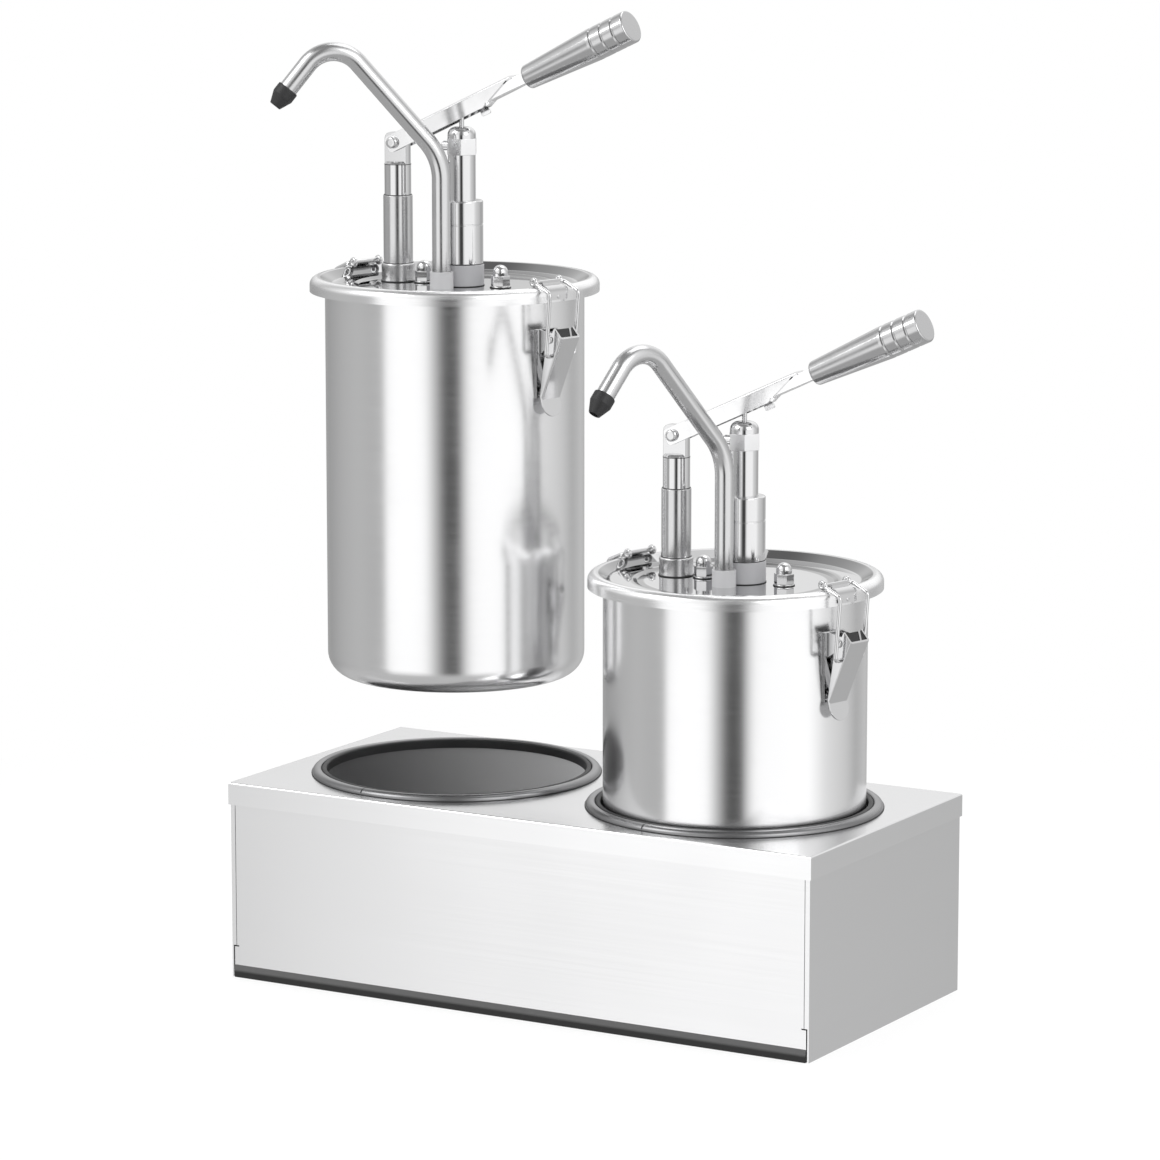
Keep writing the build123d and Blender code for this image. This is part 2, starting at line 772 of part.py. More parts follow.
# Lid nuts: two acorn nuts above the lid and the post's nut below it
with BuildPart() as lid_nuts:
    for nut_x in (pump_x - nut_offset, pump_x + nut_offset):
        with BuildSketch(Plane.XY.offset(deck)):
            with Locations((nut_x, 0)):
                Circle(acorn_washer_radius)
        extrude(amount=acorn_washer_height)
        with BuildSketch(Plane.XY.offset(deck)):
            with Locations((nut_x, 0)):
                hexagon(acorn_across)
        extrude(amount=acorn_hex_height)
        with BuildSketch(Plane.XY.offset(deck)):
            with Locations((nut_x, 0)):
                Circle(acorn_dome_radius)
        extrude(amount=acorn_height - acorn_dome_radius)
        with Locations((nut_x, 0, deck + acorn_height - acorn_dome_radius)):
            Sphere(acorn_dome_radius)
        with BuildSketch(Plane.XY.offset(deck)):
            with Locations((nut_x, 0)):
                Circle(stud_radius + fastener_gap)
        extrude(amount=stud_rise + fastener_gap, mode=Mode.SUBTRACT)
    with BuildSketch(Plane.XY.offset(flange_low - post_nut_height)):
        with Locations((post_x, 0)):
            hexagon(post_nut_across)
            Circle(post_stud_radius + fastener_gap, mode=Mode.SUBTRACT)
    extrude(amount=post_nut_height)

# Spout tube, its foot on the origin and its arm along +X
spout_low = deck + hole_gap
corner_z = deck + spout_corner_height
apex_z = corner_z + spout_apex_reach * tan(radians(spout_rise_angle))
fall_x = cos(radians(spout_fall_angle))
fall_z = -sin(radians(spout_fall_angle))
spout_end = (spout_apex_reach + spout_fall_length * fall_x, 0, apex_z + spout_fall_length * fall_z)
with BuildPart() as spout_tube:
    with BuildLine() as spout_path:
        FilletPolyline(
            (0, 0, spout_low),
            (0, 0, corner_z),
            (spout_apex_reach, 0, apex_z),
            spout_end,
            radius=[spout_low_bend, spout_high_bend],
        )
    with BuildSketch(Plane.XY.offset(spout_low)):
        Circle(spout_radius)
        Circle(spout_radius - spout_wall, mode=Mode.SUBTRACT)
    sweep(path=spout_path.line)

# Nozzle tip: a rubber cap on the spout's end
tip_plane = Plane(origin=spout_end, x_dir=(fall_x, 0, fall_z), z_dir=(0, -1, 0))
tip_axis = Axis(spout_end, (fall_x, 0, fall_z))
with BuildPart() as nozzle_tip:
    with BuildSketch(tip_plane):
        with BuildLine():
            Polyline(
                (-nozzle_overlap, spout_radius + fastener_gap),
                (-nozzle_overlap, nozzle_radius),
                (nozzle_barrel - nozzle_overlap, nozzle_radius),
                (nozzle_length - nozzle_overlap, nozzle_tip_radius),
                (nozzle_length - nozzle_overlap, nozzle_bore),
                (fastener_gap, nozzle_bore),
                (fastener_gap, spout_radius + fastener_gap),
                close=True,
            )
        make_face()
    revolve(axis=tip_axis)
    fillet(nozzle_tip.edges().sort_by(tip_axis)[0:2].sort_by(SortBy.LENGTH)[-1], radius=nozzle_edge_radius)

# Latch plate, at azimuth 0: a plate on the jar's wall, two ears and a riveted pin
ear_outer = latch_width / 2 - latch_sheet - ear_gap
pivot_height_z = jar_top + latch_pivot_z
plate_face = jar_radius + plate_thickness
plate_height = plate_high - plate_low
with BuildPart() as latch_plate:
    with BuildSketch(Plane.XY.offset(jar_top + plate_low)):
        with Locations((plate_face - plate_thickness, 0)):
            Rectangle(2 * plate_thickness, plate_width)
        Circle(jar_radius + seat_gap / 2, mode=Mode.SUBTRACT)
    extrude(amount=plate_height)
    for side in (-1, 1):
        with BuildSketch(Plane.XZ.offset(side * (ear_outer - ear_thickness / 2))):
            with Locations((latch_pivot_r, pivot_height_z)):
                Circle(ear_radius)
            with Locations((plate_face - plate_thickness / 2, jar_top + plate_high - ear_radius * 2)):
                Rectangle(plate_thickness, ear_radius * 4)
            make_hull()
        extrude(amount=ear_thickness / 2, both=True)
    with BuildSketch(Plane.XZ):
        with Locations((latch_pivot_r, pivot_height_z)):
            Circle(latch_pin_radius)
    extrude(amount=latch_width / 2 + running_gap + latch_pin_head_height, both=True)
    head_y = latch_width / 2 + running_gap + latch_pin_head_height / 2
    for side in (-1, 1):
        with BuildSketch(Plane.XZ.offset(side * head_y)):
            with Locations((latch_pivot_r, pivot_height_z)):
                Circle(latch_pin_head)
        extrude(amount=latch_pin_head_height / 2, both=True)

# Latch lever, at azimuth 0: a channel with a rounded finger tab
outer_r, outer_z = latch_top_outer
low_r, low_z = latch_low_outer
face_length = hypot(outer_r - low_r, outer_z - low_z)
inward_r = -(outer_z - low_z) / face_length * latch_sheet
inward_z = (outer_r - low_r) / face_length * latch_sheet
with BuildPart() as latch_lever:
    with BuildSketch(Plane.XZ):
        with BuildLine():
            Polyline(
                (outer_r, jar_top + outer_z),
                (latch_top_inner[0], jar_top + latch_top_inner[1]),
                (latch_back[0], jar_top + latch_back[1]),
                (latch_low_inner[0], jar_top + latch_low_inner[1]),
                (low_r, jar_top + low_z),
                close=True,
            )
        make_face()
    extrude(amount=latch_width / 2, both=True)
    along_r = (outer_r - low_r) / face_length * latch_width
    along_z = (outer_z - low_z) / face_length * latch_width
    with BuildSketch(Plane.XZ):
        with BuildLine():
            Polyline(
                (outer_r + inward_r + along_r, jar_top + outer_z + inward_z + along_z),
                (low_r + inward_r - along_r, jar_top + low_z + inward_z - along_z),
                (jar_radius - latch_width, jar_top + low_z),
                (jar_radius - latch_width, jar_top + outer_z + along_z),
                close=True,
            )
        make_face()
    extrude(amount=latch_width / 2 - latch_sheet, both=True, mode=Mode.SUBTRACT)
    tab_turn = radians(tab_angle)
    tab_face = Plane(
        origin=(low_r, 0, jar_top + low_z + latch_sheet),
        x_dir=(0, 1, 0),
        z_dir=(-cos(tab_turn), 0, -sin(tab_turn)),
    )
    with BuildSketch(tab_face):
        with Locations((0, (tab_reach - latch_width / 2) / 2)):
            Rectangle(latch_width, tab_reach - latch_width / 2)
        with Locations((0, tab_reach - latch_width / 2)):
            Circle(latch_width / 2)
    extrude(amount=latch_sheet)
    with BuildSketch(Plane.XZ):
        with Locations((latch_pivot_r, pivot_height_z)):
            Circle(latch_pin_radius + running_gap)
        with Locations((eye_r, jar_top + eye_z)):
            Circle(wire_radius + running_gap)
    extrude(amount=latch_width, both=True, mode=Mode.SUBTRACT)

# Catch, at azimuth 0: a strike plate over the lid's rim with an upright lip
catch_gap = lap_gap / 2
lip_r = crossbar_r + wire_radius + catch_lip_gap
lip_length = catch_lip_height + catch_thickness / 2
catch_mid_r = lid_radius + catch_gap + catch_thickness / 2
catch_mid_z = lid_top + catch_gap + catch_thickness / 2
with BuildPart() as latch_catch:
    with BuildSketch(Plane.XZ):
        with BuildLine():
            FilletPolyline(
                (crossbar_r - catch_inner_reach, catch_mid_z),
                (catch_mid_r, catch_mid_z),
                (catch_mid_r, lid_top - lid_edge_radius - catch_skirt / 2),
                radius=lid_edge_radius + catch_gap + catch_thickness / 2,
            )
        trace(line_width=catch_thickness)
        with Locations((lip_r + catch_thickness / 2, catch_mid_z + lip_length / 2)):
            Rectangle(catch_thickness, lip_length)
    extrude(amount=catch_width / 2, both=True)

# Bail, at azimuth 0: a wire loop from the latch lever's eyes over the catch
crossbar_z = lid_top + catch_gap + catch_thickness + wire_radius + crossbar_gap
with BuildPart() as latch_bail:
    with BuildLine() as bail_path:
        FilletPolyline(
            (eye_r, -wire_end, jar_top + eye_z),
            (eye_r, -wire_half_width, jar_top + eye_z),
            (shoulder_r, -wire_half_width, jar_top + shoulder_z),
            (crossbar_r, -wire_half_width, crossbar_z),
            (crossbar_r, wire_half_width, crossbar_z),
            (shoulder_r, wire_half_width, jar_top + shoulder_z),
            (eye_r, wire_half_width, jar_top + eye_z),
            (eye_r, wire_end, jar_top + eye_z),
            radius=[wire_eye_bend, wire_bend, wire_bend, wire_bend, wire_bend, wire_eye_bend],
        )
    with BuildSketch(Plane.XZ.offset(wire_end)):
        with Locations((eye_r, jar_top + eye_z)):
            Circle(wire_radius)
    sweep(path=bail_path.line)


def write(shape, node):
    shape.label = node
    export_step(shape, "parts/" + node + ".step")


# Base pieces
write(base_cover.part, "base_cover")
write(base_body.part, "base_body")
write(bottom_plate.part, "bottom_plate")
write(edge_strips.part, "edge_strips")
left_well = Location((-well_spacing / 2, 0, 0))
right_well = Location((well_spacing / 2, 0, 0))
write(well_liner.moved(left_well), "well_liner_left")
write(well_liner.moved(right_well), "well_liner_right")
write(Compound([well_ring.part.moved(left_well), well_ring.part.moved(right_well)]), "well_rings")
write(Compound([well_gasket.part.moved(left_well), well_gasket.part.moved(right_well)]), "well_gaskets")

# Pieces of each jar that keep the jar's own directions
jar_pieces = {
    "container": jar_container,
    "lid": lid.part,
    "lid_seal": lid_seal.part,
    "post_sleeve": post_sleeve.part,
    "post_rod": post_rod.part,
    "pivot_bolt": pivot_bolt.part,
    "lever_bar": lever_bar.part,
    "lever_grip": lever_grip.part,
    "pump_block": pump_block.part,
    "outlet_block": outlet_block.part,
    "pump_sleeve": pump_sleeve.part,
    "plunger_tube": plunger_tube.part,
    "cap_nut": cap_nut.part,
    "piston_rod": piston_rod.part,
    "return_spring": spring_at_pump,
    "pump_body": pump_body.part,
    "foot_valve": foot_valve.part,
    "lid_nuts": lid_nuts.part,
}
jars = (
    ("left", -well_spacing / 2, jar_lift, left_spout_azimuth),
    ("right", well_spacing / 2, 0, right_spout_azimuth),
)
for side, jar_x, lift, spout_azimuth in jars:
    at_jar = Location((jar_x, 0, lift))
    for name, piece in jar_pieces.items():
        write(piece.moved(at_jar), side + "_" + name)
    at_spout = Location((jar_x + spout_x, spout_y, lift), (0, 0, spout_azimuth))
    write(spout_tube.part.moved(at_spout), side + "_spout_tube")
    write(nozzle_tip.part.moved(at_spout), side + "_nozzle_tip")
    at_outer = Location((jar_x, 0, lift), (0, 0, latch_azimuth))
    at_inner = Location((jar_x, 0, lift), (0, 0, latch_azimuth + 180))
    plates = [latch_plate.part.moved(at_outer), latch_plate.part.moved(at_inner)]
    catches = [latch_catch.part.moved(at_outer), latch_catch.part.moved(at_inner)]
    write(Compound(plates), side + "_latch_plates")
    write(Compound(catches), side + "_latch_catches")
    write(latch_lever.part.moved(at_outer), side + "_latch_lever_east")
    write(latch_lever.part.moved(at_inner), side + "_latch_lever_west")
    write(latch_bail.part.moved(at_outer), side + "_latch_bail_east")
    write(latch_bail.part.moved(at_inner), side + "_latch_bail_west")
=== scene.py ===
import json
from math import cos, pi, radians, sin, sqrt, tan

import bmesh
import bpy
from mathutils import Matrix, Vector


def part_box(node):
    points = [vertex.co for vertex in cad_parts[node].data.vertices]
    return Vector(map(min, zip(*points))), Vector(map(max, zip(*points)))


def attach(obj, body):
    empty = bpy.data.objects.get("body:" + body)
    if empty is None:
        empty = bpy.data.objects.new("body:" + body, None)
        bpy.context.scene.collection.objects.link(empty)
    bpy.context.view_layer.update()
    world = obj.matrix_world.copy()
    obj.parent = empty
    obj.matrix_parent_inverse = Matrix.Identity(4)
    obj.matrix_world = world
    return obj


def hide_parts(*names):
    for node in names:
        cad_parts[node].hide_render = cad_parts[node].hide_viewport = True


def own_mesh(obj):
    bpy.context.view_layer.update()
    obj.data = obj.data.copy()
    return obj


# Twin sauce dispenser: two clamped jars with lever pumps, on a two-well steel base.
# Sizes are in millimetres and become metres in the mesh functions.

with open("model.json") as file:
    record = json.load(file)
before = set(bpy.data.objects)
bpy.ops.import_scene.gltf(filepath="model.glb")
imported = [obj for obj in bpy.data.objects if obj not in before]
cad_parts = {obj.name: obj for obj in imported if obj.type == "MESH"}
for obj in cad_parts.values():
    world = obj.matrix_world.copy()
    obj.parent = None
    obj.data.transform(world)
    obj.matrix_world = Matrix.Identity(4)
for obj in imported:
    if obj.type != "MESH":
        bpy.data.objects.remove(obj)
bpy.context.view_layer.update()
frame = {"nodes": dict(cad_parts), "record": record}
nodes = frame["nodes"]
scene = bpy.context.scene
mm = 0.001
print("frame loaded,", len(nodes), "nodes")

sides = {
    "left": {"x": -99, "lift": 168, "spout": -140},
    "right": {"x": 99, "lift": 0, "spout": -110},
}

# the camera stands where the photograph was taken from
view = dict(azimuth=30.27, elevation=9.88, distance=3069, target=(-9.55, 0, 253.4),
    focalPixels=5000, picturePixels=1160, sensor=36)


def linked(name, data):
    made = bpy.data.objects.new(name, data)
    scene.collection.objects.link(made)
    return made


def stand(name, data, place, direction):
    made = linked(name, data)
    made.location = place
    made.rotation_mode = "QUATERNION"
    made.rotation_quaternion = direction.to_track_quat("-Z", "Y")
    return made


def makeCamera():
    azimuth, elevation = radians(view["azimuth"]), radians(view["elevation"])
    back = Vector((sin(azimuth) * cos(elevation), -cos(azimuth) * cos(elevation), sin(elevation)))
    data = bpy.data.cameras.new("camera")
    data.sensor_width = view["sensor"]
    data.lens = view["focalPixels"] / view["picturePixels"] * view["sensor"]
    place = (Vector(view["target"]) + back * view["distance"]) * mm
    scene.camera = stand("camera", data, place, -back)
    scene.view_settings.view_transform = "Standard"


def feed(tree, made, inputs):
    # each socket gets a value, or a link from another node's output
    for socket, value in inputs.items():
        if hasattr(value, "is_output"):
            tree.links.new(value, made.inputs[socket])
        else:
            made.inputs[socket].default_value = value


def node(tree, kind, inputs={}, **settings):
    # a node of the tree's own family
    made = tree.nodes.new(tree.bl_idname.replace("Tree", kind))
    for name, value in settings.items():
        setattr(made, name, value)
    feed(tree, made, inputs)
    return made


def math(tree, operation, *inputs):
    return node(tree, "Math", dict(enumerate(inputs)), operation=operation).outputs[0]


def between(tree, factor, low, high, start=0.3, end=0.7, kind="LINEAR"):
    limits = {"Value": factor, "From Min": start, "From Max": end, "To Min": low, "To Max": high}
    return node(tree, "MapRange", limits, interpolation_type=kind).outputs[0]


# per kind of mix node: its two inputs and its output
mixSockets = {"FLOAT": (2, 3, 0), "VECTOR": (4, 5, 1), "RGBA": (6, 7, 2)}


def mix(tree, factor, one, other, kind="RGBA", blend="MIX"):
    first, second, result = mixSockets[kind]
    return node(tree, "Mix", {0: factor, first: one, second: other}, data_type=kind,
        blend_type=blend).outputs[result]


def mixShader(tree, factor, one, other):
    return node(tree, "MixShader", {0: factor, 1: one, 2: other}).outputs[0]


def split(tree, vector):
    return node(tree, "SeparateXYZ", {0: vector}).outputs


def ramp(tree, factor, stops):
    made = node(tree, "ValToRGB", {"Fac": factor})
    elements = made.color_ramp.elements
    while len(elements) > 1:
        elements.remove(elements[-1])
    for number, (place, level) in enumerate(stops):
        stop = elements[0] if number == 0 else elements.new(place)
        stop.position = place
        stop.color = (*level, 1) if hasattr(level, "__len__") else (level, level, level, 1)
    return made.outputs["Color"]


# what polished steel mirrors: rings of (degrees from the front, brightness) low and high in the
# room, and caps of (start, end, brightness) by height
studio = {
    "front": 30.3,
    "low": [(-180, 0.42), (-150, 0.34), (-115, 0.46), (-95, 0.5), (-66.5, 0.44), (-61.5, 1.15),
        (-26, 1.15), (-16, 0.5), (-8, 0.06), (4, 0.06), (9, 0.7), (16, 1.12), (66, 1.15),
        (84, 0.8), (112, 0.62), (128, 0.44), (152, 0.56), (180, 0.42)],
    "high": [(-180, 1.15), (-140, 0.5), (-105, 0.85), (-60, 1.1), (-25, 0.95), (-10, 0.25),
        (6, 0.25), (20, 1.0), (70, 1.1), (105, 0.6), (140, 1.0), (180, 1.15)],
    "change": (-0.02, 0.3),
    "caps": [(-0.3, -0.55, 0.52), (0.72, 0.9, 0.3)],
    "ambient": 1.1,
}
white = (1, 1, 1, 1)


def background(tree, colour, strength):
    return node(tree, "Background", {"Color": colour, "Strength": strength}).outputs[0]


def rays(tree):
    seen = node(tree, "LightPath").outputs
    mirrored = math(tree, "MAXIMUM", seen["Is Glossy Ray"], seen["Is Transmission Ray"])
    return seen["Is Camera Ray"], mirrored


def makeWorld():
    world = bpy.data.worlds.new("studio")
    scene.world = world
    world.use_nodes = True
    tree = world.node_tree
    tree.nodes.clear()
    place = node(tree, "TexCoord").outputs["Generated"]
    turned = node(tree, "VectorRotate", {"Vector": place, "Angle": radians(90 - studio["front"])},
        rotation_type="Z_AXIS")
    parts = split(tree, turned.outputs[0])
    around = math(tree, "ARCTAN2", parts["Y"], parts["X"])
    share = math(tree, "MULTIPLY_ADD", around, 1 / (2 * pi), 0.5)
    low, high = (ramp(tree, share, [((a + 180) / 360, b) for a, b in studio[ring]])
        for ring in ("low", "high"))
    height = between(tree, parts["Z"], 0, 1, *studio["change"], "SMOOTHSTEP")
    panels = mix(tree, height, low, high)
    for start, end, level in studio["caps"]:
        away = between(tree, parts["Z"], 0, 1, start, end, "SMOOTHSTEP")
        panels = mix(tree, away, panels, (level, level, level, 1))
    direct, mirrored = rays(tree)
    lit = mixShader(tree, mirrored, background(tree, white, studio["ambient"]),
        background(tree, panels, 1))
    whole = mixShader(tree, direct, lit, background(tree, white, 1))
    node(tree, "OutputWorld", {0: whole})


# the floor's own shade shows near the object only, and fades to plain white
floorLook = dict(half=6, tone=(0.93, 0.93, 0.93, 1), fade=(0.25, 0.8), least=0.72)


def makeFloor():
    mesh = bpy.data.meshes.new("floor")
    half = floorLook["half"]
    corners = [(-half, -half, 0), (half, -half, 0), (half, half, 0), (-half, half, 0)]
    mesh.from_pydata(corners, [], [(0, 1, 2, 3)])
    floor = linked("floor", mesh)
    floor.visible_glossy = False
    material = bpy.data.materials.new("floor")
    material.use_nodes = True
    tree = material.node_tree
    tree.nodes.clear()
    shown = math(tree, "MAXIMUM", *rays(tree))
    place = node(tree, "TexCoord").outputs["Object"]
    reach = node(tree, "VectorMath", {0: place}, operation="LENGTH").outputs["Value"]
    whiter = between(tree, reach, floorLook["least"], 1, *floorLook["fade"], "SMOOTHSTEP")
    matt = node(tree, "BsdfDiffuse", {"Color": floorLook["tone"]}).outputs[0]
    glow = node(tree, "Emission", {"Color": white}).outputs[0]
    whole = mixShader(tree, math(tree, "MULTIPLY", shown, whiter), matt, glow)
    node(tree, "OutputMaterial", {0: whole})
    mesh.materials.append(material)


# place, size and power, in metres and watts
lamps = {
    "keyLamp": ((-1.6, -1.8, 2.4), 1.6, 22),
    "fillLamp": ((2.4, -0.9, 1.7), 1.5, 12),
    "topLamp": ((0.2, 1.0, 2.8), 1.8, 14),
}
lampAim = (0, 0, 0.25)


def makeLamp(name, place, size, power):
    data = bpy.data.lights.new(name, "AREA")
    data.size = size
    data.energy = power
    stand(name, data, place, Vector(lampAim) - Vector(place))


makeCamera()
makeWorld()
makeFloor()
for name, values in lamps.items():
    makeLamp(name, *values)
print("camera, world, floor and lamps made")


def startMaterial(name):
    material = bpy.data.materials.new(name)
    material.use_nodes = True
    tree = material.node_tree
    place = node(tree, "TexCoord").outputs["Object"]
    return material, tree, tree.nodes["Principled BSDF"], place


def stretched(tree, place, scale, detail=4.0, rough=0.6):
    mapping = node(tree, "Mapping", {"Vector": place, "Scale": scale})
    inputs = {"Vector": mapping.outputs[0], "Scale": 1.0, "Detail": detail, "Roughness": rough}
    return node(tree, "TexNoise", inputs).outputs["Fac"]


def even(tree, place, scale, detail, rough):
    return stretched(tree, place, (scale, scale, scale), detail, rough)


def stored(tree, name):
    return node(tree, "Attribute", attribute_name=name).outputs["Fac"]


def grey(level):
    # a neutral steel tone
    return level, level, level + 0.005


def shades(tree, factor, tone, spread):
    return ramp(tree, factor, [(0.3, [c * (1 - spread) for c in tone]), (0.7, tone)])


def steel(name, grain, tone, roughness, spread, smudges=0.03, uneven=0.35):
    # grain: how finely the pattern repeats along X, Y and Z, per metre
    material, tree, shader, place = startMaterial(name)
    streaks = stretched(tree, place, grain)
    clouds = even(tree, place, 9, 2.0, 0.5)
    prints = even(tree, place, 60, 3.0, 0.6)
    base = between(tree, streaks, roughness * (1 - uneven), roughness * (1 + uneven))
    soft = between(tree, clouds, -smudges, smudges, 0.35, 0.65)
    marks = between(tree, prints, 0, smudges, 0.55, 0.75)
    feed(tree, shader, {
        "Base Color": shades(tree, streaks, tone, spread),
        "Roughness": math(tree, "ADD", math(tree, "ADD", base, soft), marks),
        "Metallic": 1,
    })
    return material


def aroundGrain(name, tone, roughness, spread):
    # brushed round a vertical axis
    return steel(name, (14, 14, 900), tone, roughness, spread, 0.02, 0.12)


def brushedSheet(name, tone, shadedTopTone, roughness, spread):
    # brushed along its length: level streaks on upright faces, streaks along X on the top; the top
    # faces get a darker tone of their own, which is painted shade
    material, tree, shader, place = startMaterial(name)
    normal = split(tree, node(tree, "NewGeometry").outputs["Normal"])
    flat = math(tree, "GREATER_THAN", math(tree, "ABSOLUTE", normal["Z"]), 0.7)
    streaks = mix(tree, flat, stretched(tree, place, (4, 4, 900)),
        stretched(tree, place, (4, 900, 4)), "FLOAT")
    clouds = even(tree, place, 7, 2.0, 0.5)
    # painted shade: the top faces take the darker tone
    tones = (shades(tree, streaks, colour, spread) for colour in (tone, shadedTopTone))
    base = between(tree, streaks, roughness - 0.02, roughness + 0.02)
    soft = between(tree, clouds, -0.02, 0.02, 0.35, 0.65)
    feed(tree, shader, {
        "Base Color": mix(tree, flat, *tones),
        "Roughness": math(tree, "ADD", base, soft),
        "Metallic": 1,
        "Anisotropic": 0.6,
        "Tangent": mix(tree, flat, (0, 0, 1), (0, 1, 0), "VECTOR"),
    })
    return material


def lidFinish(name, tone, roughness, litEdgeTone, edgeRoughness, slopeShade):
    # a mirror on top and a brushed edge, told apart by shares stored on the lid's points; the slope
    # bands are darkened by a share of painted shade
    material, tree, shader, place = startMaterial(name)
    streaks = stretched(tree, place, (14, 14, 900))
    marks = even(tree, place, 40, 3.0, 0.6)
    brushed = stored(tree, "brushed")
    smooth = between(tree, marks, roughness - 0.01, roughness + 0.02, 0.4, 0.75)
    coarse = between(tree, streaks, edgeRoughness - 0.04, edgeRoughness + 0.04)
    # painted light: the brushed edge is a real finish, but its lighter tone than the mirror is
    # painted light
    tones = (shades(tree, marks, colour, 0.03) for colour in (tone, litEdgeTone))
    plain, shade = mix(tree, brushed, *tones), (slopeShade, slopeShade, slopeShade, 1)
    feed(tree, shader, {
        "Base Color": mix(tree, stored(tree, "paintedSlopeShade"), plain, shade, "RGBA", "MULTIPLY"),
        "Roughness": mix(tree, brushed, smooth, coarse, "FLOAT"),
        "Metallic": 1,
    })
    return material


def plastic(name, tone, roughness, speckle, bumpHeight):
    material, tree, shader, place = startMaterial(name)
    fine = even(tree, place, 2500, 2.0, 0.5)
    broad = even(tree, place, 35, 3.0, 0.6)
    low, high = ([min(1, c * (1 + part)) for c in tone] for part in (-speckle, speckle))
    bump = node(tree, "Bump", {"Height": fine, "Strength": 0.4, "Distance": bumpHeight})
    feed(tree, shader, {
        "Base Color": ramp(tree, broad, [(0.3, low), (0.7, high)]),
        "Roughness": between(tree, broad, roughness - 0.05, roughness + 0.07),
        "Normal": bump.outputs[0],
    })
    return material


def recolour(material, share, low, high):
    tree = material.node_tree
    colour = ramp(tree, share, [(0, low), (1, high)])
    feed(tree, tree.nodes["Principled BSDF"], {"Base Color": colour})
    return material


def linerCoat(name, dark, pale, roughness):
    # painted light: the liner's colour runs from dark to pale across the well, by the share stored
    # on the liner's points
    material = plastic(name, dark, roughness, 0.03, 0.00001)
    return recolour(material, stored(material.node_tree, "paintedLightShare"), dark, pale)


def stripRubber(name, low, high, start, end):
    # rubber painted lighter above the crest of the strip: a painted sheen on its slanted upper face
    material = plastic(name, (low, low, low), 0.4, 0.15, 0.00001)
    tree = material.node_tree
    height = split(tree, node(tree, "TexCoord").outputs["Object"])["Z"]
    return recolour(material, between(tree, height, 0, 1, start * mm, end * mm), low, high)


finishes = {name: maker(name, *values) for name, maker, *values in (
    ("brushedSheet", brushedSheet, grey(0.9), grey(0.8), 0.21, 0.008),
    # painted light: the cover's upright faces are a lighter copy of the body's brushed sheet
    ("coverSheet", brushedSheet, grey(0.93), grey(0.74), 0.2, 0.008),
    ("ringSteel", aroundGrain, grey(0.28), 0.3, 0.04),
    ("spoutSteel", steel, (40, 40, 40), grey(0.67), 0.2, 0.02, 0.015),
    ("capSteel", steel, (60, 60, 60), grey(0.82), 0.32, 0.02, 0.01),
    ("satinSteel", aroundGrain, grey(0.9), 0.2, 0.01),
    ("polishedSteel", steel, (40, 40, 60), grey(0.76), 0.08, 0.02, 0.015),
    ("lidSteel", lidFinish, grey(0.74), 0.035, grey(0.94), 0.25, 0.48),
    ("innerSteel", steel, (30, 30, 400), grey(0.72), 0.3, 0.08),
    ("gripSteel", steel, (50, 50, 50), grey(0.62), 0.15, 0.02, 0.015),
    ("leverSteel", steel, (60, 60, 60), grey(0.96), 0.16, 0.015, 0.01),
    ("greyPlastic", plastic, (0.44, 0.44, 0.455), 0.42, 0.04, 0.00002),
    ("palePlastic", plastic, (0.56, 0.56, 0.57), 0.35, 0.04, 0.00002),
    ("blackRubber", plastic, (0.018, 0.018, 0.019), 0.5, 0.25, 0.00003),
    ("linerCoat", linerCoat, (0.08, 0.08, 0.082), grey(0.95), 0.34),
    ("darkLiner", plastic, (0.045, 0.045, 0.047), 0.36, 0.15, 0.00002),
    ("sealSilicone", plastic, (0.55, 0.55, 0.55), 0.5, 0.05, 0.00001),
    ("stripRubber", stripRubber, 0.012, 0.085, 3.4, 5.2),
)}
print("finishes made")

slotFinish = {
    "brushed_sheet": "brushedSheet", "satin_steel": "satinSteel", "polished_steel": "polishedSteel",
    "inner_steel": "innerSteel", "grip_metal": "gripSteel", "grey_plastic": "greyPlastic",
    "black_rubber": "blackRubber", "dark_liner": "darkLiner", "seal_silicone": "sealSilicone",
}
ownFinish = {"base_cover": "coverSheet", "left_outlet_block": "palePlastic",
    "right_outlet_block": "palePlastic"}
for entry in frame["record"]["subparts"]:
    mesh = nodes[entry["node"]].data
    mesh.materials.clear()
    finish = ownFinish.get(entry["node"], slotFinish[entry["material_slot"]])
    mesh.materials.append(finishes[finish])
print("frame nodes finished")


def rounded(corners, steps=7, closed=False, support=0.4):
    # a line through (x, y, radius) corners, each an arc with a point close to its ends
    count, path = len(corners), []
    for number, (x, y, radius) in enumerate(corners):
        here = Vector((x, y))
        if radius <= 0 or (not closed and number in (0, count - 1)):
            path.append(here)
            continue
        before, after = Vector(corners[number - 1][:2]), Vector(corners[(number + 1) % count][:2])
        toBefore, toAfter = (before - here).normalized(), (after - here).normalized()
        half = toBefore.angle(toAfter) / 2
        reach = radius / tan(half)
        centre = here + (toBefore + toAfter).normalized() * radius / sin(half)
        start, end = here + toBefore * reach, here + toAfter * reach
        spoke = start - centre
        turn = spoke.angle_signed(end - centre)
        if support and (before - here).length > reach + 3 * support:
            path.append(start + toBefore * support)
        for step in range(steps + 1):
            angle = -turn * step / steps
            path.append(centre + Vector((spoke.x * cos(angle) - spoke.y * sin(angle),
                spoke.x * sin(angle) + spoke.y * cos(angle))))
        if support and (after - here).length > reach + 3 * support:
            path.append(end + toAfter * support)
    return path


def band(inner, outer, low, high):
    return [(inner, low), (outer, low), (outer, high), (inner, high)]


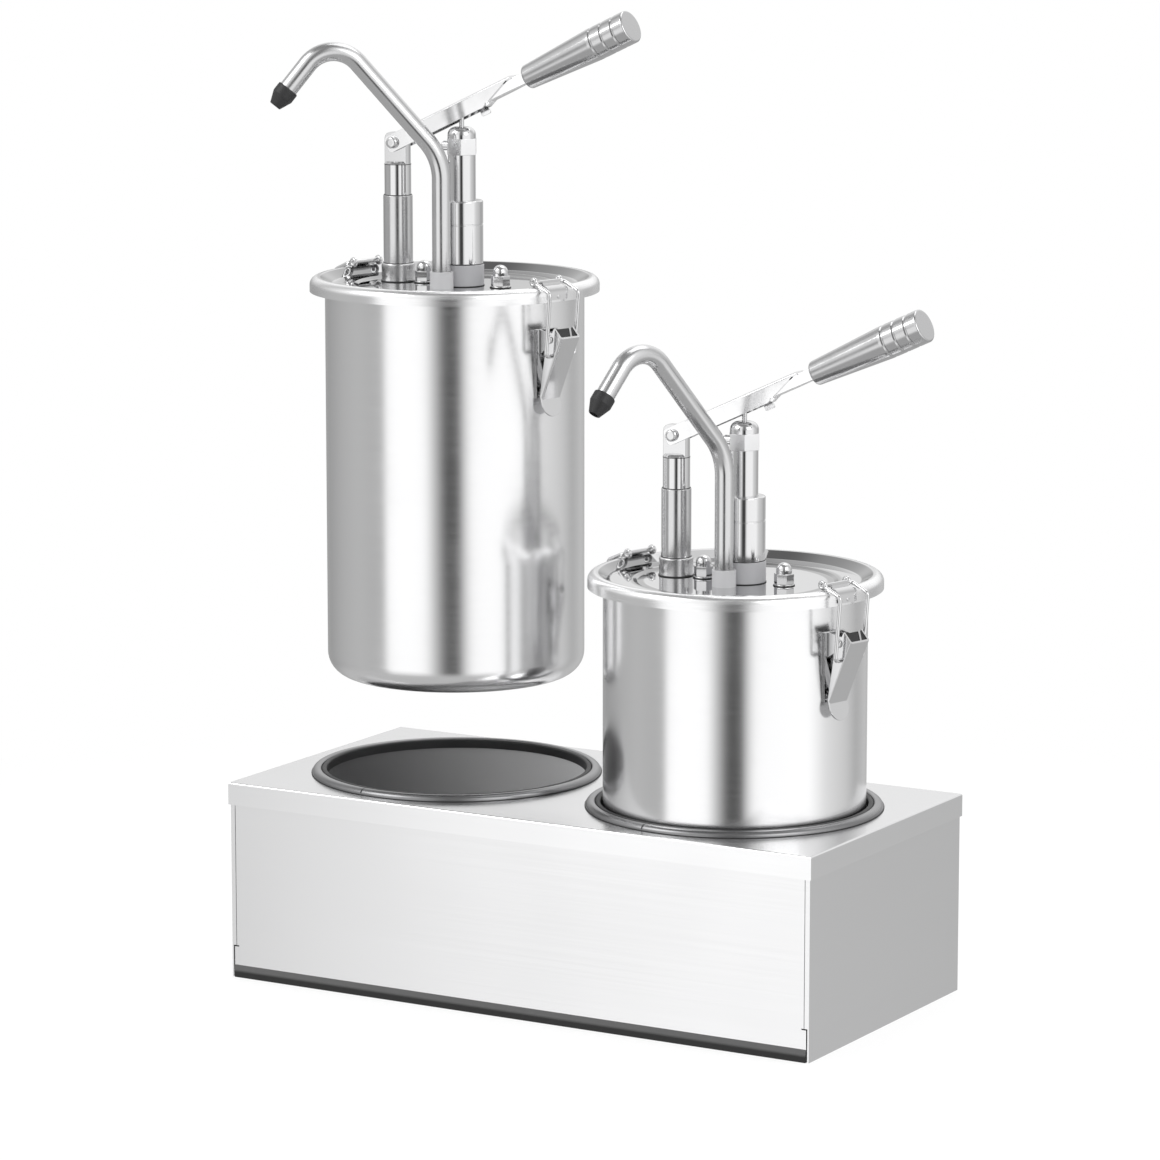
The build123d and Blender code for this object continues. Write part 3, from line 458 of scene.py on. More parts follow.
def sheetLoop(path, thickness):
    # both faces of a sheet along its middle line
    one, other, last = [], [], len(path) - 1
    for number, here in enumerate(path):
        before, after = path[max(0, number - 1)], path[min(last, number + 1)]
        inward = (here - before).normalized() if number else Vector((0, 0))
        outward = (after - here).normalized() if number < last else Vector((0, 0))
        along = (inward + outward).normalized()
        bend = max(0.5, along.dot(outward if number < last else inward))
        side = Vector((-along.y, along.x)) * thickness / 2 / bend
        one.append(here + side)
        other.append(here - side)
    return one + other[::-1]


def turnedMesh(loop, segments=96, closed=True):
    # revolves a line of (r, z) points about Z
    bm = bmesh.new()
    rings = []
    for r, z in loop:
        if abs(r) < 1e-4:
            rings.append([bm.verts.new((0, 0, z))])
        else:
            angles = [2 * pi * k / segments for k in range(segments)]
            rings.append([bm.verts.new((r * cos(a), r * sin(a), z)) for a in angles])
    pairs = list(zip(rings, rings[1:])) + ([(rings[-1], rings[0])] if closed else [])
    for a, b in pairs:
        if len(a) == 1 and len(b) == 1:
            continue
        for k in range(segments):
            corners = [a[k % len(a)], a[(k + 1) % len(a)], b[(k + 1) % len(b)], b[k % len(b)]]
            bm.faces.new(list(dict.fromkeys(corners)))
    bmesh.ops.recalc_face_normals(bm, faces=bm.faces)
    return bm


def loftMesh(loops):
    # a skin over loops with as many points each, closed at both ends
    bm = bmesh.new()
    rows = [[bm.verts.new(p) for p in loop] for loop in loops]
    bm.faces.new(rows[0][::-1])
    bm.faces.new(rows[-1])
    for a, b in zip(rows, rows[1:]):
        for k in range(len(a)):
            following = (k + 1) % len(a)
            bm.faces.new((a[k], a[following], b[following], b[k]))
    bmesh.ops.recalc_face_normals(bm, faces=bm.faces)
    return bm


def softenEdges(bm, bevel, steps=2, sharp=25):
    least = radians(sharp)
    edges = [e for e in bm.edges if len(e.link_faces) == 2 and e.calc_face_angle(0) > least]
    bmesh.ops.bevel(bm, geom=edges, offset=bevel, segments=steps, profile=0.7, affect="EDGES",
        clamp_overlap=True)


upright = {"across": (1, 0, 0), "up": (0, 0, 1)}


def prismMesh(outline, low, high, origin=(0, 0, 0), across=(1, 0, 0), up=(0, 1, 0), bevel=0,
        steps=2, sharp=25):
    # a plate of that outline, from low to high along the outline's own normal
    across, up, origin = Vector(across).normalized(), Vector(up).normalized(), Vector(origin)
    normal = across.cross(up)
    bm = loftMesh([[origin + across * x + up * y + normal * depth for x, y in outline]
        for depth in (low, high)])
    if bevel:
        softenEdges(bm, bevel, steps, sharp)
    return bm


def joined(*parts):
    whole = bmesh.new()
    for part in parts:
        mesh = bpy.data.meshes.new("part")
        part.to_mesh(mesh)
        whole.from_mesh(mesh)
        bpy.data.meshes.remove(mesh)
        part.free()
    return whole


def transformed(bm, matrix):
    bmesh.ops.transform(bm, matrix=matrix, verts=bm.verts)
    return bm


def moved(bm, x=0, y=0, z=0, turn=0):
    return transformed(bm, Matrix.Translation((x, y, z)) @ Matrix.Rotation(radians(turn), 4, "Z"))


def aimed(bm, origin, direction):
    # turns a shape built along Z so that it points along a direction from origin
    turn = Vector((0, 0, 1)).rotation_difference(Vector(direction).normalized())
    return transformed(bm, Matrix.Translation(origin) @ turn.to_matrix().to_4x4())


def placed(mesh, offset, turn=0):
    mesh.transform(Matrix.Translation(Vector(offset) * mm) @ Matrix.Rotation(radians(turn), 4, "Z"))
    return mesh


def metres(bm, name):
    mesh = bpy.data.meshes.new(name)
    bm.to_mesh(mesh)
    mesh.transform(Matrix.Scale(mm, 4))
    return mesh


def merged(mesh, *others):
    whole = bmesh.new()
    for part in (mesh, *others):
        whole.from_mesh(part)
    whole.to_mesh(mesh)
    return mesh


def finishPiece(mesh, name, finish, body, replaced, weighted=True):
    mesh.polygons.foreach_set("use_smooth", [True] * len(mesh.polygons))
    mesh.set_sharp_from_angle(angle=radians(32))
    mesh.materials.clear()
    mesh.materials.append(finishes[finish])
    piece = linked(name, mesh)
    if weighted:
        flats = piece.modifiers.new("flats", "WEIGHTED_NORMAL")
        flats.keep_sharp = True
    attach(piece, body)
    if replaced:
        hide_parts(*replaced)
    return piece


def basePiece(bm, name, finish, replaced, x=0, weighted=True):
    mesh = placed(metres(bm, name), (x, 0, 0))
    return finishPiece(mesh, name, finish, "base", replaced, weighted)


def spot(side, x=0, y=0, z=0):
    return sides[side]["x"] + x, y, sides[side]["lift"] + z


def dress(side, shape, name, replaced, finish="polishedSteel", body="jar",
        x=0, y=0, z=0, turn=0, weighted=True):
    # a piece of one dispenser: a finished mesh, or a shape placed from the middle of its jar
    if isinstance(shape, bmesh.types.BMesh):
        shape = placed(metres(shape, side + name), spot(side, x, y, z), turn)
    swapped = [side + "_" + replaced] if replaced else []
    return finishPiece(shape, side + name, finish, side + "_" + body, swapped, weighted)


def arc(x, y, radius, start, end, step):
    turns = [radians(a) for a in range(start, end, step)]
    return [(x + radius * cos(a), y + radius * sin(a)) for a in turns]


def hexOutline(across, turn=0):
    return arc(0, 0, across / sqrt(3), turn, turn + 360, 60)


def startTree(name, inputs):
    tree = bpy.data.node_groups.new(name, "GeometryNodeTree")
    sockets = [("Geometry", "Geometry"), *inputs.items(), ("Finish", "Material")]
    for label, kind in sockets:
        tree.interface.new_socket(label, in_out="INPUT", socket_type="NodeSocket" + kind)
    tree.interface.new_socket("Geometry", in_out="OUTPUT", socket_type="NodeSocketGeometry")
    return tree, tree.nodes.new("NodeGroupInput").outputs


def endTree(tree, given, geometry):
    whole = node(tree, "RealizeInstances", {"Geometry": geometry})
    coated = node(tree, "SetMaterial", {"Geometry": whole.outputs["Geometry"],
        "Material": given["Finish"]})
    feed(tree, tree.nodes.new("NodeGroupOutput"), {"Geometry": coated.outputs["Geometry"]})
    return tree


def tubeSkin(tree, curve, radius, sides):
    ring = node(tree, "CurvePrimitiveCircle", {"Resolution": sides, "Radius": radius})
    inputs = {"Curve": curve, "Profile Curve": ring.outputs["Curve"], "Fill Caps": True}
    return node(tree, "CurveToMesh", inputs).outputs["Mesh"]


def bentTubeTree():
    # a round tube along a line of points, each corner bent to the radius stored on its point
    inputs = {"Tube Radius": "Float", "Bend Steps": "Int", "Sides": "Int"}
    tree, given = startTree("bentTube", inputs)
    line = node(tree, "MeshToCurve", {"Mesh": given["Geometry"]})
    bend = node(tree, "InputNamedAttribute", {"Name": "bend"}, data_type="FLOAT")
    corners = node(tree, "FilletCurve", {
        "Curve": line.outputs["Curve"], "Radius": bend.outputs["Attribute"],
        "Count": given["Bend Steps"]}, mode="POLY")
    skin = tubeSkin(tree, corners.outputs["Curve"], given["Tube Radius"], given["Sides"])
    return endTree(tree, given, skin)


def coilTree():
    # a round wire wound at one radius
    tree, given = startTree("coil", {"Turns": "Float", "Coil Radius": "Float",
        "Coil Height": "Float", "Wire Radius": "Float"})
    spiral = node(tree, "CurveSpiral", {
        "Resolution": 24, "Rotations": given["Turns"], "Start Radius": given["Coil Radius"],
        "End Radius": given["Coil Radius"], "Height": given["Coil Height"]})
    return endTree(tree, given, tubeSkin(tree, spiral.outputs["Curve"], given["Wire Radius"], 10))


def scatterTree():
    # one copy of an object on every point
    tree, given = startTree("onePerPoint", {"Copied": "Object"})
    shape = node(tree, "ObjectInfo", {"Object": given["Copied"]})
    copies = node(tree, "InstanceOnPoints",
        {"Points": given["Geometry"], "Instance": shape.outputs["Geometry"]})
    return endTree(tree, given, copies.outputs["Instances"])


trees = {"bentTube": bentTubeTree(), "coil": coilTree(), "scatter": scatterTree()}


def store(mesh, name, values):
    mesh.attributes.new(name, "FLOAT", "POINT").data.foreach_set("value", values)


def grown(name, tree, points, values, bends=None):
    # runs a tree on a line of points and gives the plain mesh that comes out
    seed = bpy.data.meshes.new(name + "Points")
    lines = [(k, k + 1) for k in range(len(points) - 1)] if bends else []
    seed.from_pydata([Vector(p) * mm for p in points], lines, [])
    if bends:
        store(seed, "bend", [b * mm for b in bends])
    carrier = linked(name + "Carrier", seed)
    modifier = carrier.modifiers.new(name, "NODES")
    modifier.node_group = trees[tree]
    for item in trees[tree].interface.items_tree:
        if item.in_out == "INPUT" and item.name in values:
            modifier[item.identifier] = values[item.name]
    bpy.context.view_layer.update()
    shown = carrier.evaluated_get(bpy.context.evaluated_depsgraph_get())
    mesh = bpy.data.meshes.new_from_object(shown)
    carrier.modifiers.remove(modifier)
    bpy.data.objects.remove(carrier)
    mesh.name = name
    return mesh


def bentTube(name, points, bends, radius, sides, steps, finish):
    values = {"Tube Radius": radius * mm, "Bend Steps": steps, "Sides": sides,
        "Finish": finishes[finish]}
    return grown(name, "bentTube", points, values, bends)


print("mesh functions and node trees made")


well = dict(radius=82, wall=0.8, floor=19, corner=8, flange=88.5, top=124, bend=0.6, ring=90.6,
    ringTop=127.6, ringInner=84.7, ringRound=(3.4, 1.2), gasketTop=127.4, gasketRound=1.1,
    skirt=81.3, skirtLow=121.8, foot=(-0.4, 0.45, 0.02, 0.4), paintedLightTurn=5, sides=144)


def makeLiner(side, x):
    half, around = well["wall"] / 2, radians(well["paintedLightTurn"])
    middle, floor, top = well["radius"] + half, well["floor"] - half, well["top"] + half
    path = rounded([(0, floor, 0), (middle, floor, well["corner"]), (middle, top, well["bend"]),
        (well["flange"], top, 0)])
    liner = turnedMesh(sheetLoop(path, well["wall"]), well["sides"], closed=False)
    replaced = ["well_liner_" + side]
    piece = basePiece(liner, "wellLiner_" + side, "linerCoat", replaced, x)
    # painted light: the share runs from the well's shaded side to its lit side
    places = [((v.co.x / mm - x) * cos(around) + v.co.y / mm * sin(around)) / well["flange"]
        for v in piece.data.vertices]
    store(piece.data, "paintedLightShare", [0.5 + 0.5 * place for place in places])


def makeWells():
    rings, gaskets = [], []
    top, outer, inner, ringTop = (well[key] for key in ("top", "ring", "ringInner", "ringTop"))
    skirt, skirtLow, gasketTop = (well[key] for key in ("skirt", "skirtLow", "gasketTop"))
    for side, values in sides.items():
        makeLiner(side, values["x"])
        outerRound, innerRound = well["ringRound"]
        outline = rounded([(outer, top, 0), (outer, ringTop, outerRound),
            (inner, ringTop, innerRound), (inner, top + 0.9, 0)], 8, support=0.1)
        rings.append(moved(turnedMesh(outline, well["sides"]), values["x"]))
        low, edge, lip = top + 0.85, inner - 0.1, well["radius"] - 0.05
        bead = rounded([(skirt, skirtLow, 0), (skirt, gasketTop, well["gasketRound"]),
            (edge, gasketTop, well["gasketRound"]), (edge, low, 0), (lip, low, 0),
            (lip, skirtLow, 0)], 6, closed=True)
        gaskets.append(moved(turnedMesh(bead, well["sides"]), values["x"]))
        inward, outward, under, over = well["foot"]
        foot = band(outer + inward, outer + outward, top + under, top + over)
        gaskets.append(moved(turnedMesh(foot, well["sides"]), values["x"]))
    basePiece(joined(*rings), "wellRings", "ringSteel", ["well_rings"])
    basePiece(joined(*gaskets), "wellGaskets", "blackRubber", ["well_gaskets"])


seam = dict(x=199.7, y=98.9, width=0.35, low=20, high=109.5, depth=0.06, ringTurn=261,
    ringWidth=0.4)


def makeSeams():
    # painted shade: dark lines where the front and back sheets lap over the folded side sheets
    lines, half, depth = [], seam["width"] / 2, seam["depth"]
    for front in (-1, 1):
        for end in (-1, 1):
            lines.append(prismMesh(band(-half, half, seam["low"], seam["high"]), -depth, depth,
                (end * seam["x"], front * seam["y"], 0), **upright))
    # painted shade in the butt joint of each well's rubber-lined ring
    turn, half = radians(seam["ringTurn"]), seam["ringWidth"] / 2
    inner, outer, low, high = well["ringInner"] + 0.4, well["ring"], well["top"], well["ringTop"]
    outline = [(inner, low + 1), (outer + 0.05, low + 1), (outer - 0.1, low + 2.2),
        (outer - 1.1, high - 0.3), (outer - 2.6, high + 0.06), (inner, high + 0.06)]
    for values in sides.values():
        place, across = (values["x"], 0, 0), (cos(turn), sin(turn), 0)
        lines.append(prismMesh(outline, -half, half, place, across, (0, 0, 1)))
    basePiece(joined(*lines), "sheetSeams", "darkLiner", [], weighted=False)


strip = dict(x=201, outer=100.1, top=99.15, foot=99.6, inner=96.2, high=8, crest=4.2,
    rounds=(0.3, 1.5, 0.4))


def makeStrips():
    # rubber strips on the front and back walls' lower edges, slanted from a crest
    strips = []
    low, middle, high = strip["rounds"]
    path = rounded([(strip["inner"], 0, 0), (strip["foot"], 0, low),
        (strip["outer"], strip["crest"], middle), (strip["top"], strip["high"], high),
        (strip["inner"], strip["high"], 0)], 4, closed=True, support=0)
    for front in (-1, 1):
        strips.append(prismMesh([(front * p.x, p.y) for p in path], -strip["x"], strip["x"],
            (0, 0, 0), (0, 1, 0), (0, 0, 1), 0.15, 1, 50))
    basePiece(joined(*strips), "edgeStrips", "stripRubber", ["edge_strips"])


makeWells()
makeSeams()
makeStrips()
print("base made")


jar = dict(radius=80, wall=0.8, bottom=19.1, top=264.1, corner=15, rim=87.9, rimDrop=3,
    bends=(1, 0.9))


def makeJar(side):
    half = jar["wall"] / 2
    wall, rim = jar["radius"] - half, jar["rim"] - half
    low, high = jar["bottom"] + half, jar["top"] - half
    path = rounded([(0, low, 0), (wall, low, jar["corner"] - half), (wall, high, jar["bends"][0]),
        (rim, high, jar["bends"][1]), (rim, jar["top"] - jar["rimDrop"], 0)], 10)
    bm = turnedMesh(sheetLoop(path, jar["wall"]), 192, closed=False)
    dress(side, bm, "Jar", "container", "satinSteel")


# slopes: radii between which painted shade darkens the lid, with extra points at their ends
lid = dict(radius=89.4, sheet=0.8, top=268.1, skirt=259.1, edge=5, rim=83, shelfOuter=76,
    shelfInner=62, shelf=263.7, centre=59.5, deck=262.5, bend=1.2, brushedFrom=84,
    slopes=((75.2, 83.2), (55, 64.5)), shelfPoints=(65.2, 64), deckPoints=(56, 54.8))


def makeLid(side):
    half, bend = lid["sheet"] / 2, lid["bend"]
    outer = lid["radius"] - half
    top, shelf, deck = (lid[key] - half for key in ("top", "shelf", "deck"))
    path = rounded([
        (outer, lid["skirt"], 0), (outer, top, lid["edge"] - half), (lid["rim"], top, bend),
        (lid["shelfOuter"], shelf, bend), *((r, shelf, 0) for r in lid["shelfPoints"]),
        (lid["shelfInner"], shelf, bend), (lid["centre"], deck, bend),
        *((r, deck, 0) for r in lid["deckPoints"]), (0, deck, 0)], 8)
    bm = turnedMesh(sheetLoop(path, lid["sheet"]), 240, closed=False)
    mesh = dress(side, bm, "Lid", "lid", "lidSteel").data
    middle = sides[side]["x"] * mm
    reaches = [sqrt((v.co.x - middle) ** 2 + v.co.y ** 2) / mm for v in mesh.vertices]
    store(mesh, "brushed", [min(1, max(0, reach - lid["brushedFrom"])) for reach in reaches])
    # painted shade: the share of the slope bands that is darkened
    store(mesh, "paintedSlopeShade", [
        max(min(1, max(0, reach - low), max(0, high - reach)) for low, high in lid["slopes"])
        for reach in reaches])


post = dict(x=-41, radius=8.25, bore=8.3, sleeve=9.1, sleeveTop=53.5, collar=10.4, collarTop=11.5,
    shoulder=74.5, chamfer=1.6, tongue=5.8, pivot=86.2, tongueTop=6, corner=4, thread=4,
    threadLow=-9.8, layers=6)


def makePost(side):
    deck, r, bevel = lid["deck"], post["radius"], post["chamfer"]
    keys = ("collarTop", "sleeveTop", "shoulder")
    collarTop, sleeveTop, shoulder = (deck + post[key] for key in keys)
    sleeve = rounded([(post["bore"], deck, 0), (post["collar"], deck, 0),
        (post["collar"], collarTop, 1), (post["sleeve"], collarTop, 0.3),
        (post["sleeve"], sleeveTop, 0.35), (post["bore"], sleeveTop, 0)], 5)
    dress(side, turnedMesh(sleeve, 72), "PostSleeve", "post_sleeve", "spoutSteel", x=post["x"])
    low = deck + post["threadLow"]
    rod = turnedMesh([(0, low), (post["thread"], low), (post["thread"], deck), (r, deck),
        (r, shoulder - bevel - 0.5), (r, shoulder - bevel), (r - bevel, shoulder), (0, shoulder)],
        72, closed=False)
    layers, low, top = [], shoulder - 2 * bevel, deck + post["pivot"] + post["tongueTop"]
    for number in range(-post["layers"], post["layers"] + 1):
        y = post["tongue"] / 2 * number / post["layers"]
        wide = sqrt(r * r - y * y)
        outline = rounded([(-wide, low, 0), (wide, low, 0), (wide, top, post["corner"]),
            (-wide, top, post["corner"])], 8, closed=True)
        layers.append([(p.x, y, p.y) for p in outline])
    tongue = loftMesh(layers)
    softenEdges(tongue, 0.25, 2, 40)
    dress(side, joined(rod, tongue), "PostRod", "post_rod", x=post["x"])


# web: along the lever, and the channel's depth there; neck: along it, and half the width there
lever = dict(angle=24.7, height=10.4, width=11, sheet=1.5, fold=1.2, endRound=2.2,
    web=((12, 10.4), (68.5, 10.4), (69, 10.3), (90.6, 1.85), (94, 1.85)), neckHeight=8.6,
    neck=((65, 4.1), (87, 4.1), (95, 3.2), (99, 2.6), (104.2, 2.5)), neckRound=0.6, tabCentre=64,
    tabLength=6.5, tabDrop=3.4, knob=(72.5, -2.2, -4.3), knobRadius=1.7, knobHeight=3.4)
grip = dict(start=103.2, end=182.7, small=7.5, large=10.25, cone=155.2, pitch=8.3, grooves=3,
    groove=1.0, depth=0.5)


def leverPoint(s, y, t):
    # s along the lever from its pivot, t above it
    angle = radians(lever["angle"])
    return Vector((post["x"] + s * cos(angle) - t * sin(angle), y,
        lid["deck"] + post["pivot"] + s * sin(angle) + t * cos(angle)))


def channelLoop(half, sheet, fold, depth):
    # a folded channel seen end on: (across, depth) points, its face at depth 0
    outer = rounded([(-half, depth, 0), (-half, 0, fold + 0.3), (half, 0, fold + 0.3),
        (half, depth, 0)], 5, support=0)
    inner = rounded([(half - sheet, depth, 0), (half - sheet, sheet, fold - 0.5),
        (-half + sheet, sheet, fold - 0.5), (-half + sheet, depth, 0)], 5, support=0)
    return outer + inner


def knobMesh(radius, top, edge, steps, segments, low=0):
    outline = rounded([(0, low, 0), (radius, low, 0), (radius, top, edge), (0, top, 0)], steps)
    return turnedMesh(outline, segments, closed=False)


def makeLever(side):
    angle = radians(lever["angle"])
    along, upwards = (cos(angle), 0, sin(angle)), (-sin(angle), 0, cos(angle))
    sheet, half, top = lever["sheet"], lever["width"] / 2, lever["height"] / 2
    start = lever["web"][0][0]
    folds = [(s, channelLoop(half, sheet, lever["fold"], depth)) for s, depth in lever["web"]]
    parts = [loftMesh([[leverPoint(s, p.x, top - p.y) for p in loop] for s, loop in folds])]
    cheek = rounded([(start, -top, 0), (start, top, 0), (-top, top, lever["endRound"]),
        (-top, -top, lever["endRound"])], 5, closed=True, support=0)
    for y in (-half + sheet / 2, half - sheet / 2):
        pivot = leverPoint(0, y, 0)
        parts.append(prismMesh(cheek, -sheet / 2, sheet / 2, pivot, along, upwards, 0.25))
    # the neck fills the channel's end and narrows towards the grip
    loops, low, high = [], top - lever["neckHeight"], top - sheet
    for s, wide in lever["neck"]:
        corners = [(y, t, lever["neckRound"]) for y, t in band(-wide, wide, low, high)]
        outline = rounded(corners, 3, closed=True, support=0)
        loops.append([leverPoint(s, p.x, p.y) for p in outline])
    parts.append(loftMesh(loops))
    begin, end = (lever["tabCentre"] + way * lever["tabLength"] / 2 for way in (-1, 1))
    low, high = -top - lever["tabDrop"], -top + 1
    lug = rounded([(begin, high, 0), (begin, low, 0.8), (end, low, 0.8), (end, high, 0)], 4)
    parts.append(prismMesh(lug, -sheet / 2, sheet / 2, leverPoint(0, half - sheet / 2 - 0.02, 0),
        along, upwards, 0.2))
    knob = knobMesh(lever["knobRadius"], lever["knobHeight"], 0.7, 5, 24)
    parts.append(aimed(knob, leverPoint(*lever["knob"]), (0, -1, 0)))
    dress(side, joined(*parts), "LeverBar", "lever_bar", "leverSteel", "lever")
    wide, deep = grip["large"], grip["large"] - grip["depth"]
    profile = [(0, grip["start"], 0), (grip["small"], grip["start"], 1.5), (wide, grip["cone"], 6)]
    for number in range(grip["grooves"], 0, -1):
        middle = grip["end"] - number * grip["pitch"]
        profile += [(wide, middle - grip["groove"], 0.25), (deep, middle - 0.2, 0.15),
            (deep, middle + 0.2, 0.15), (wide, middle + grip["groove"], 0.25)]
    profile += [(wide, grip["end"], 1.1), (0, grip["end"], 0)]
    handle = aimed(turnedMesh(rounded(profile, 6), 96, closed=False), leverPoint(0, 0, 0), along)
    dress(side, handle, "LeverGrip", "lever_grip", "gripSteel", "lever")


bolt = dict(head=3.8, headHeight=3.0, shaft=2.5, end=2.0, past=5, nut=8, nutHeight=4)


def makePivot(side):
    half = lever["width"] / 2 + 0.05
    wide, tall = bolt["head"], bolt["headHeight"]
    head = rounded([(0, 0, 0), (wide, 0, 0.2), (wide, tall, 1.7), (0, tall, 0)], 6)
    head = aimed(turnedMesh(head, 40, closed=False), (0, -half, 0), (0, -1, 0))
    low, high = -half - 0.5, half + bolt["past"]
    shaft = turnedMesh([(0, low), (bolt["shaft"], low), (bolt["shaft"], high - 0.6),
        (bolt["end"], high), (0, high)], 32, closed=False)
    aimed(shaft, (0, 0, 0), (0, 1, 0))
    nut = prismMesh(hexOutline(bolt["nut"]), half, half + bolt["nutHeight"], (0, 0, 0), (0, 0, 1),
        (1, 0, 0), 0.35)
    dress(side, joined(head, shaft, nut), "PivotBolt", "pivot_bolt", x=post["x"],
          z=lid["deck"] + post["pivot"])


pump = dict(x=5.5, blockTop=13.5, bore=8.55, sleeve=13, sleeveTop=52.5, groove=37.5,
    grooveWidth=0.8, grooveDepth=0.4, plunger=8.5, plungerBore=7, plungerTop=80.5, plungerLow=-90)
cap = dict(across=17.6, hexHeight=10, top=17, dome=5, domeFlat=1.6, stub=7.3, stubRadius=3,
    stubLength=6, stubHeight=5)


def makePump(side):
    deck, wide, deep = lid["deck"], pump["sleeve"], pump["sleeve"] - pump["grooveDepth"]
    low, groove, high = (deck + pump[key] for key in ("blockTop", "groove", "sleeveTop"))
    above = groove + pump["grooveWidth"]
    sleeve = rounded([(pump["bore"], low, 0), (wide, low, 0.2), (wide, groove, 0.12),
        (deep, groove, 0.1), (deep, above, 0.1), (wide, above, 0.12), (wide, high, 1.0),
        (pump["bore"], high, 0.3)], 5, closed=True)
    dress(side, turnedMesh(sleeve, 96), "PumpSleeve", "pump_sleeve", x=pump["x"])
    foot, base = deck + pump["plungerLow"], deck + pump["plungerTop"]
    tube = turnedMesh(band(pump["plungerBore"], pump["plunger"], foot, base), 72)
    dress(side, tube, "PlungerTube", "plunger_tube", body="plunger", x=pump["x"])
    nut = prismMesh(hexOutline(cap["across"]), base, base + cap["hexHeight"], bevel=0.5)
    reach, top = cap["across"] / 2 - 0.1, base + cap["top"]
    dome = turnedMesh(rounded([(0, base + 1, 0), (reach, base + 1, 0), (reach, top, cap["dome"]),
        (cap["domeFlat"], top, 0)], 10), 72, closed=False)
    stub = knobMesh(cap["stubRadius"], cap["stubLength"], 0.9, 5, 40)
    aimed(stub, (-cap["stub"], 0, base + cap["stubHeight"]), (-1, 0, 0))
    dress(side, nut, "CapNut", "cap_nut", "capSteel", "plunger", x=pump["x"])
    dress(side, joined(dome, stub), "CapDome", None, body="plunger", x=pump["x"])


spring = dict(turns=10, radius=8.4, wire=0.8, travel=27.6)


def makeSpring(side):
    # the coil under the piston, as tall as the frame's return spring
    low, high = (corner[2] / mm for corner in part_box(side + "_return_spring"))
    foot, tall = low + spring["wire"], high - low - 2 * spring["wire"]
    x, y = spot(side, pump["x"])[:2]
    coil = grown(side + "ReturnSpring", "coil", [(0, 0, 0)], {
        "Turns": spring["turns"], "Coil Radius": spring["radius"] * mm, "Coil Height": tall * mm,
        "Wire Radius": spring["wire"] * mm, "Finish": finishes["innerSteel"]})
    piece = dress(side, placed(coil, (x, y, foot)), "ReturnSpring", "return_spring", "innerSteel")
    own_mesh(piece)


nuts = dict(reach=27.5, bore=3, washer=6.2, washerTop=1.2, across=10.7, turn=15, hexTop=7.4,
    dome=4.8, domeLow=6, domeTop=14, postAcross=13, postLow=-9.8, postHigh=-3.3)


def makeNuts(side):
    deck = lid["deck"]
    washer = turnedMesh(rounded([(nuts["bore"], 0, 0), (nuts["washer"], 0, 0),
        (nuts["washer"], nuts["washerTop"], 0.4), (nuts["bore"], nuts["washerTop"], 0)], 4,
        closed=True), 48)
    block = prismMesh(hexOutline(nuts["across"], nuts["turn"]), nuts["washerTop"], nuts["hexTop"],
        bevel=0.45)
    dome = knobMesh(nuts["dome"], nuts["domeTop"], 4.7, 12, 48, nuts["domeLow"])
    copied = linked("acornNut", metres(joined(washer, block, dome), "acornNut"))
    spots = [spot(side, pump["x"] + way * nuts["reach"], 0, deck) for way in (-1, 1)]
    made = grown(side + "LidNuts", "scatter", spots,
        {"Copied": copied, "Finish": finishes["polishedSteel"]})
    bpy.data.objects.remove(copied)
    below = prismMesh(hexOutline(nuts["postAcross"]), deck + nuts["postLow"],
        deck + nuts["postHigh"], spot(side, post["x"]), bevel=0.4)
    dress(side, merged(made, metres(below, "postNut")), "LidNuts", "lid_nuts")


spout = dict(x=3, y=-20, radius=5.75, corner=80, rise=49, fall=51, reach=66.3, fallLength=48,
    bends=(0, 36, 20, 0), foot=0.3)
nozzle = dict(socket=5.8, overlap=5.5, radius=6.75, barrel=6, length=13.5, tip=3.6, bore=2.6)


def makeSpout(side):
    deck, rise, drop = lid["deck"], radians(spout["rise"]), radians(spout["fall"])
    cornerZ = deck + spout["corner"]
    apexZ = cornerZ + spout["reach"] * tan(rise)
    fall = Vector((cos(drop), 0, -sin(drop)))
    end = Vector((spout["reach"], 0, apexZ)) + fall * spout["fallLength"]
    points = [(0, 0, deck + spout["foot"]), (0, 0, cornerZ), (spout["reach"], 0, apexZ), tuple(end)]
    tube = bentTube(side + "SpoutTube", points, spout["bends"], spout["radius"], 64, 40,
        "spoutSteel")
    placed(tube, spot(side, spout["x"], spout["y"]), sides[side]["spout"])
    dress(side, tube, "SpoutTube", "spout_tube", "spoutSteel", "spout")
    low, wide, bore = -nozzle["overlap"], nozzle["radius"], nozzle["bore"]
    shoulder, high = low + nozzle["barrel"], low + nozzle["length"]
    profile = rounded([(nozzle["socket"], low, 0), (wide, low, 0.9), (wide, shoulder, 1.2),
        (nozzle["tip"], high, 0.6), (bore, high, 0.2), (bore, 0.1, 0), (nozzle["socket"], 0.1, 0)],
        6, closed=True)
    tip = aimed(turnedMesh(profile, 64), end, fall)
    dress(side, tip, "NozzleTip", "nozzle_tip", "blackRubber", "spout", spout["x"],
          spout["y"], turn=sides[side]["spout"])


latch = dict(azimuth=-14.5, width=16.5, sheet=1.2, pivotR=91, pivotZ=-27.1)
plate = dict(width=18, low=-64, high=-22, faces=(0.05, 1.25), arcSteps=8, ear=3.8, earThickness=1.2,
    earDrop=15, pin=1.5, pinHead=2.6, rivets=(-58.5, -52), rivet=2.2, rivetHeight=0.9)


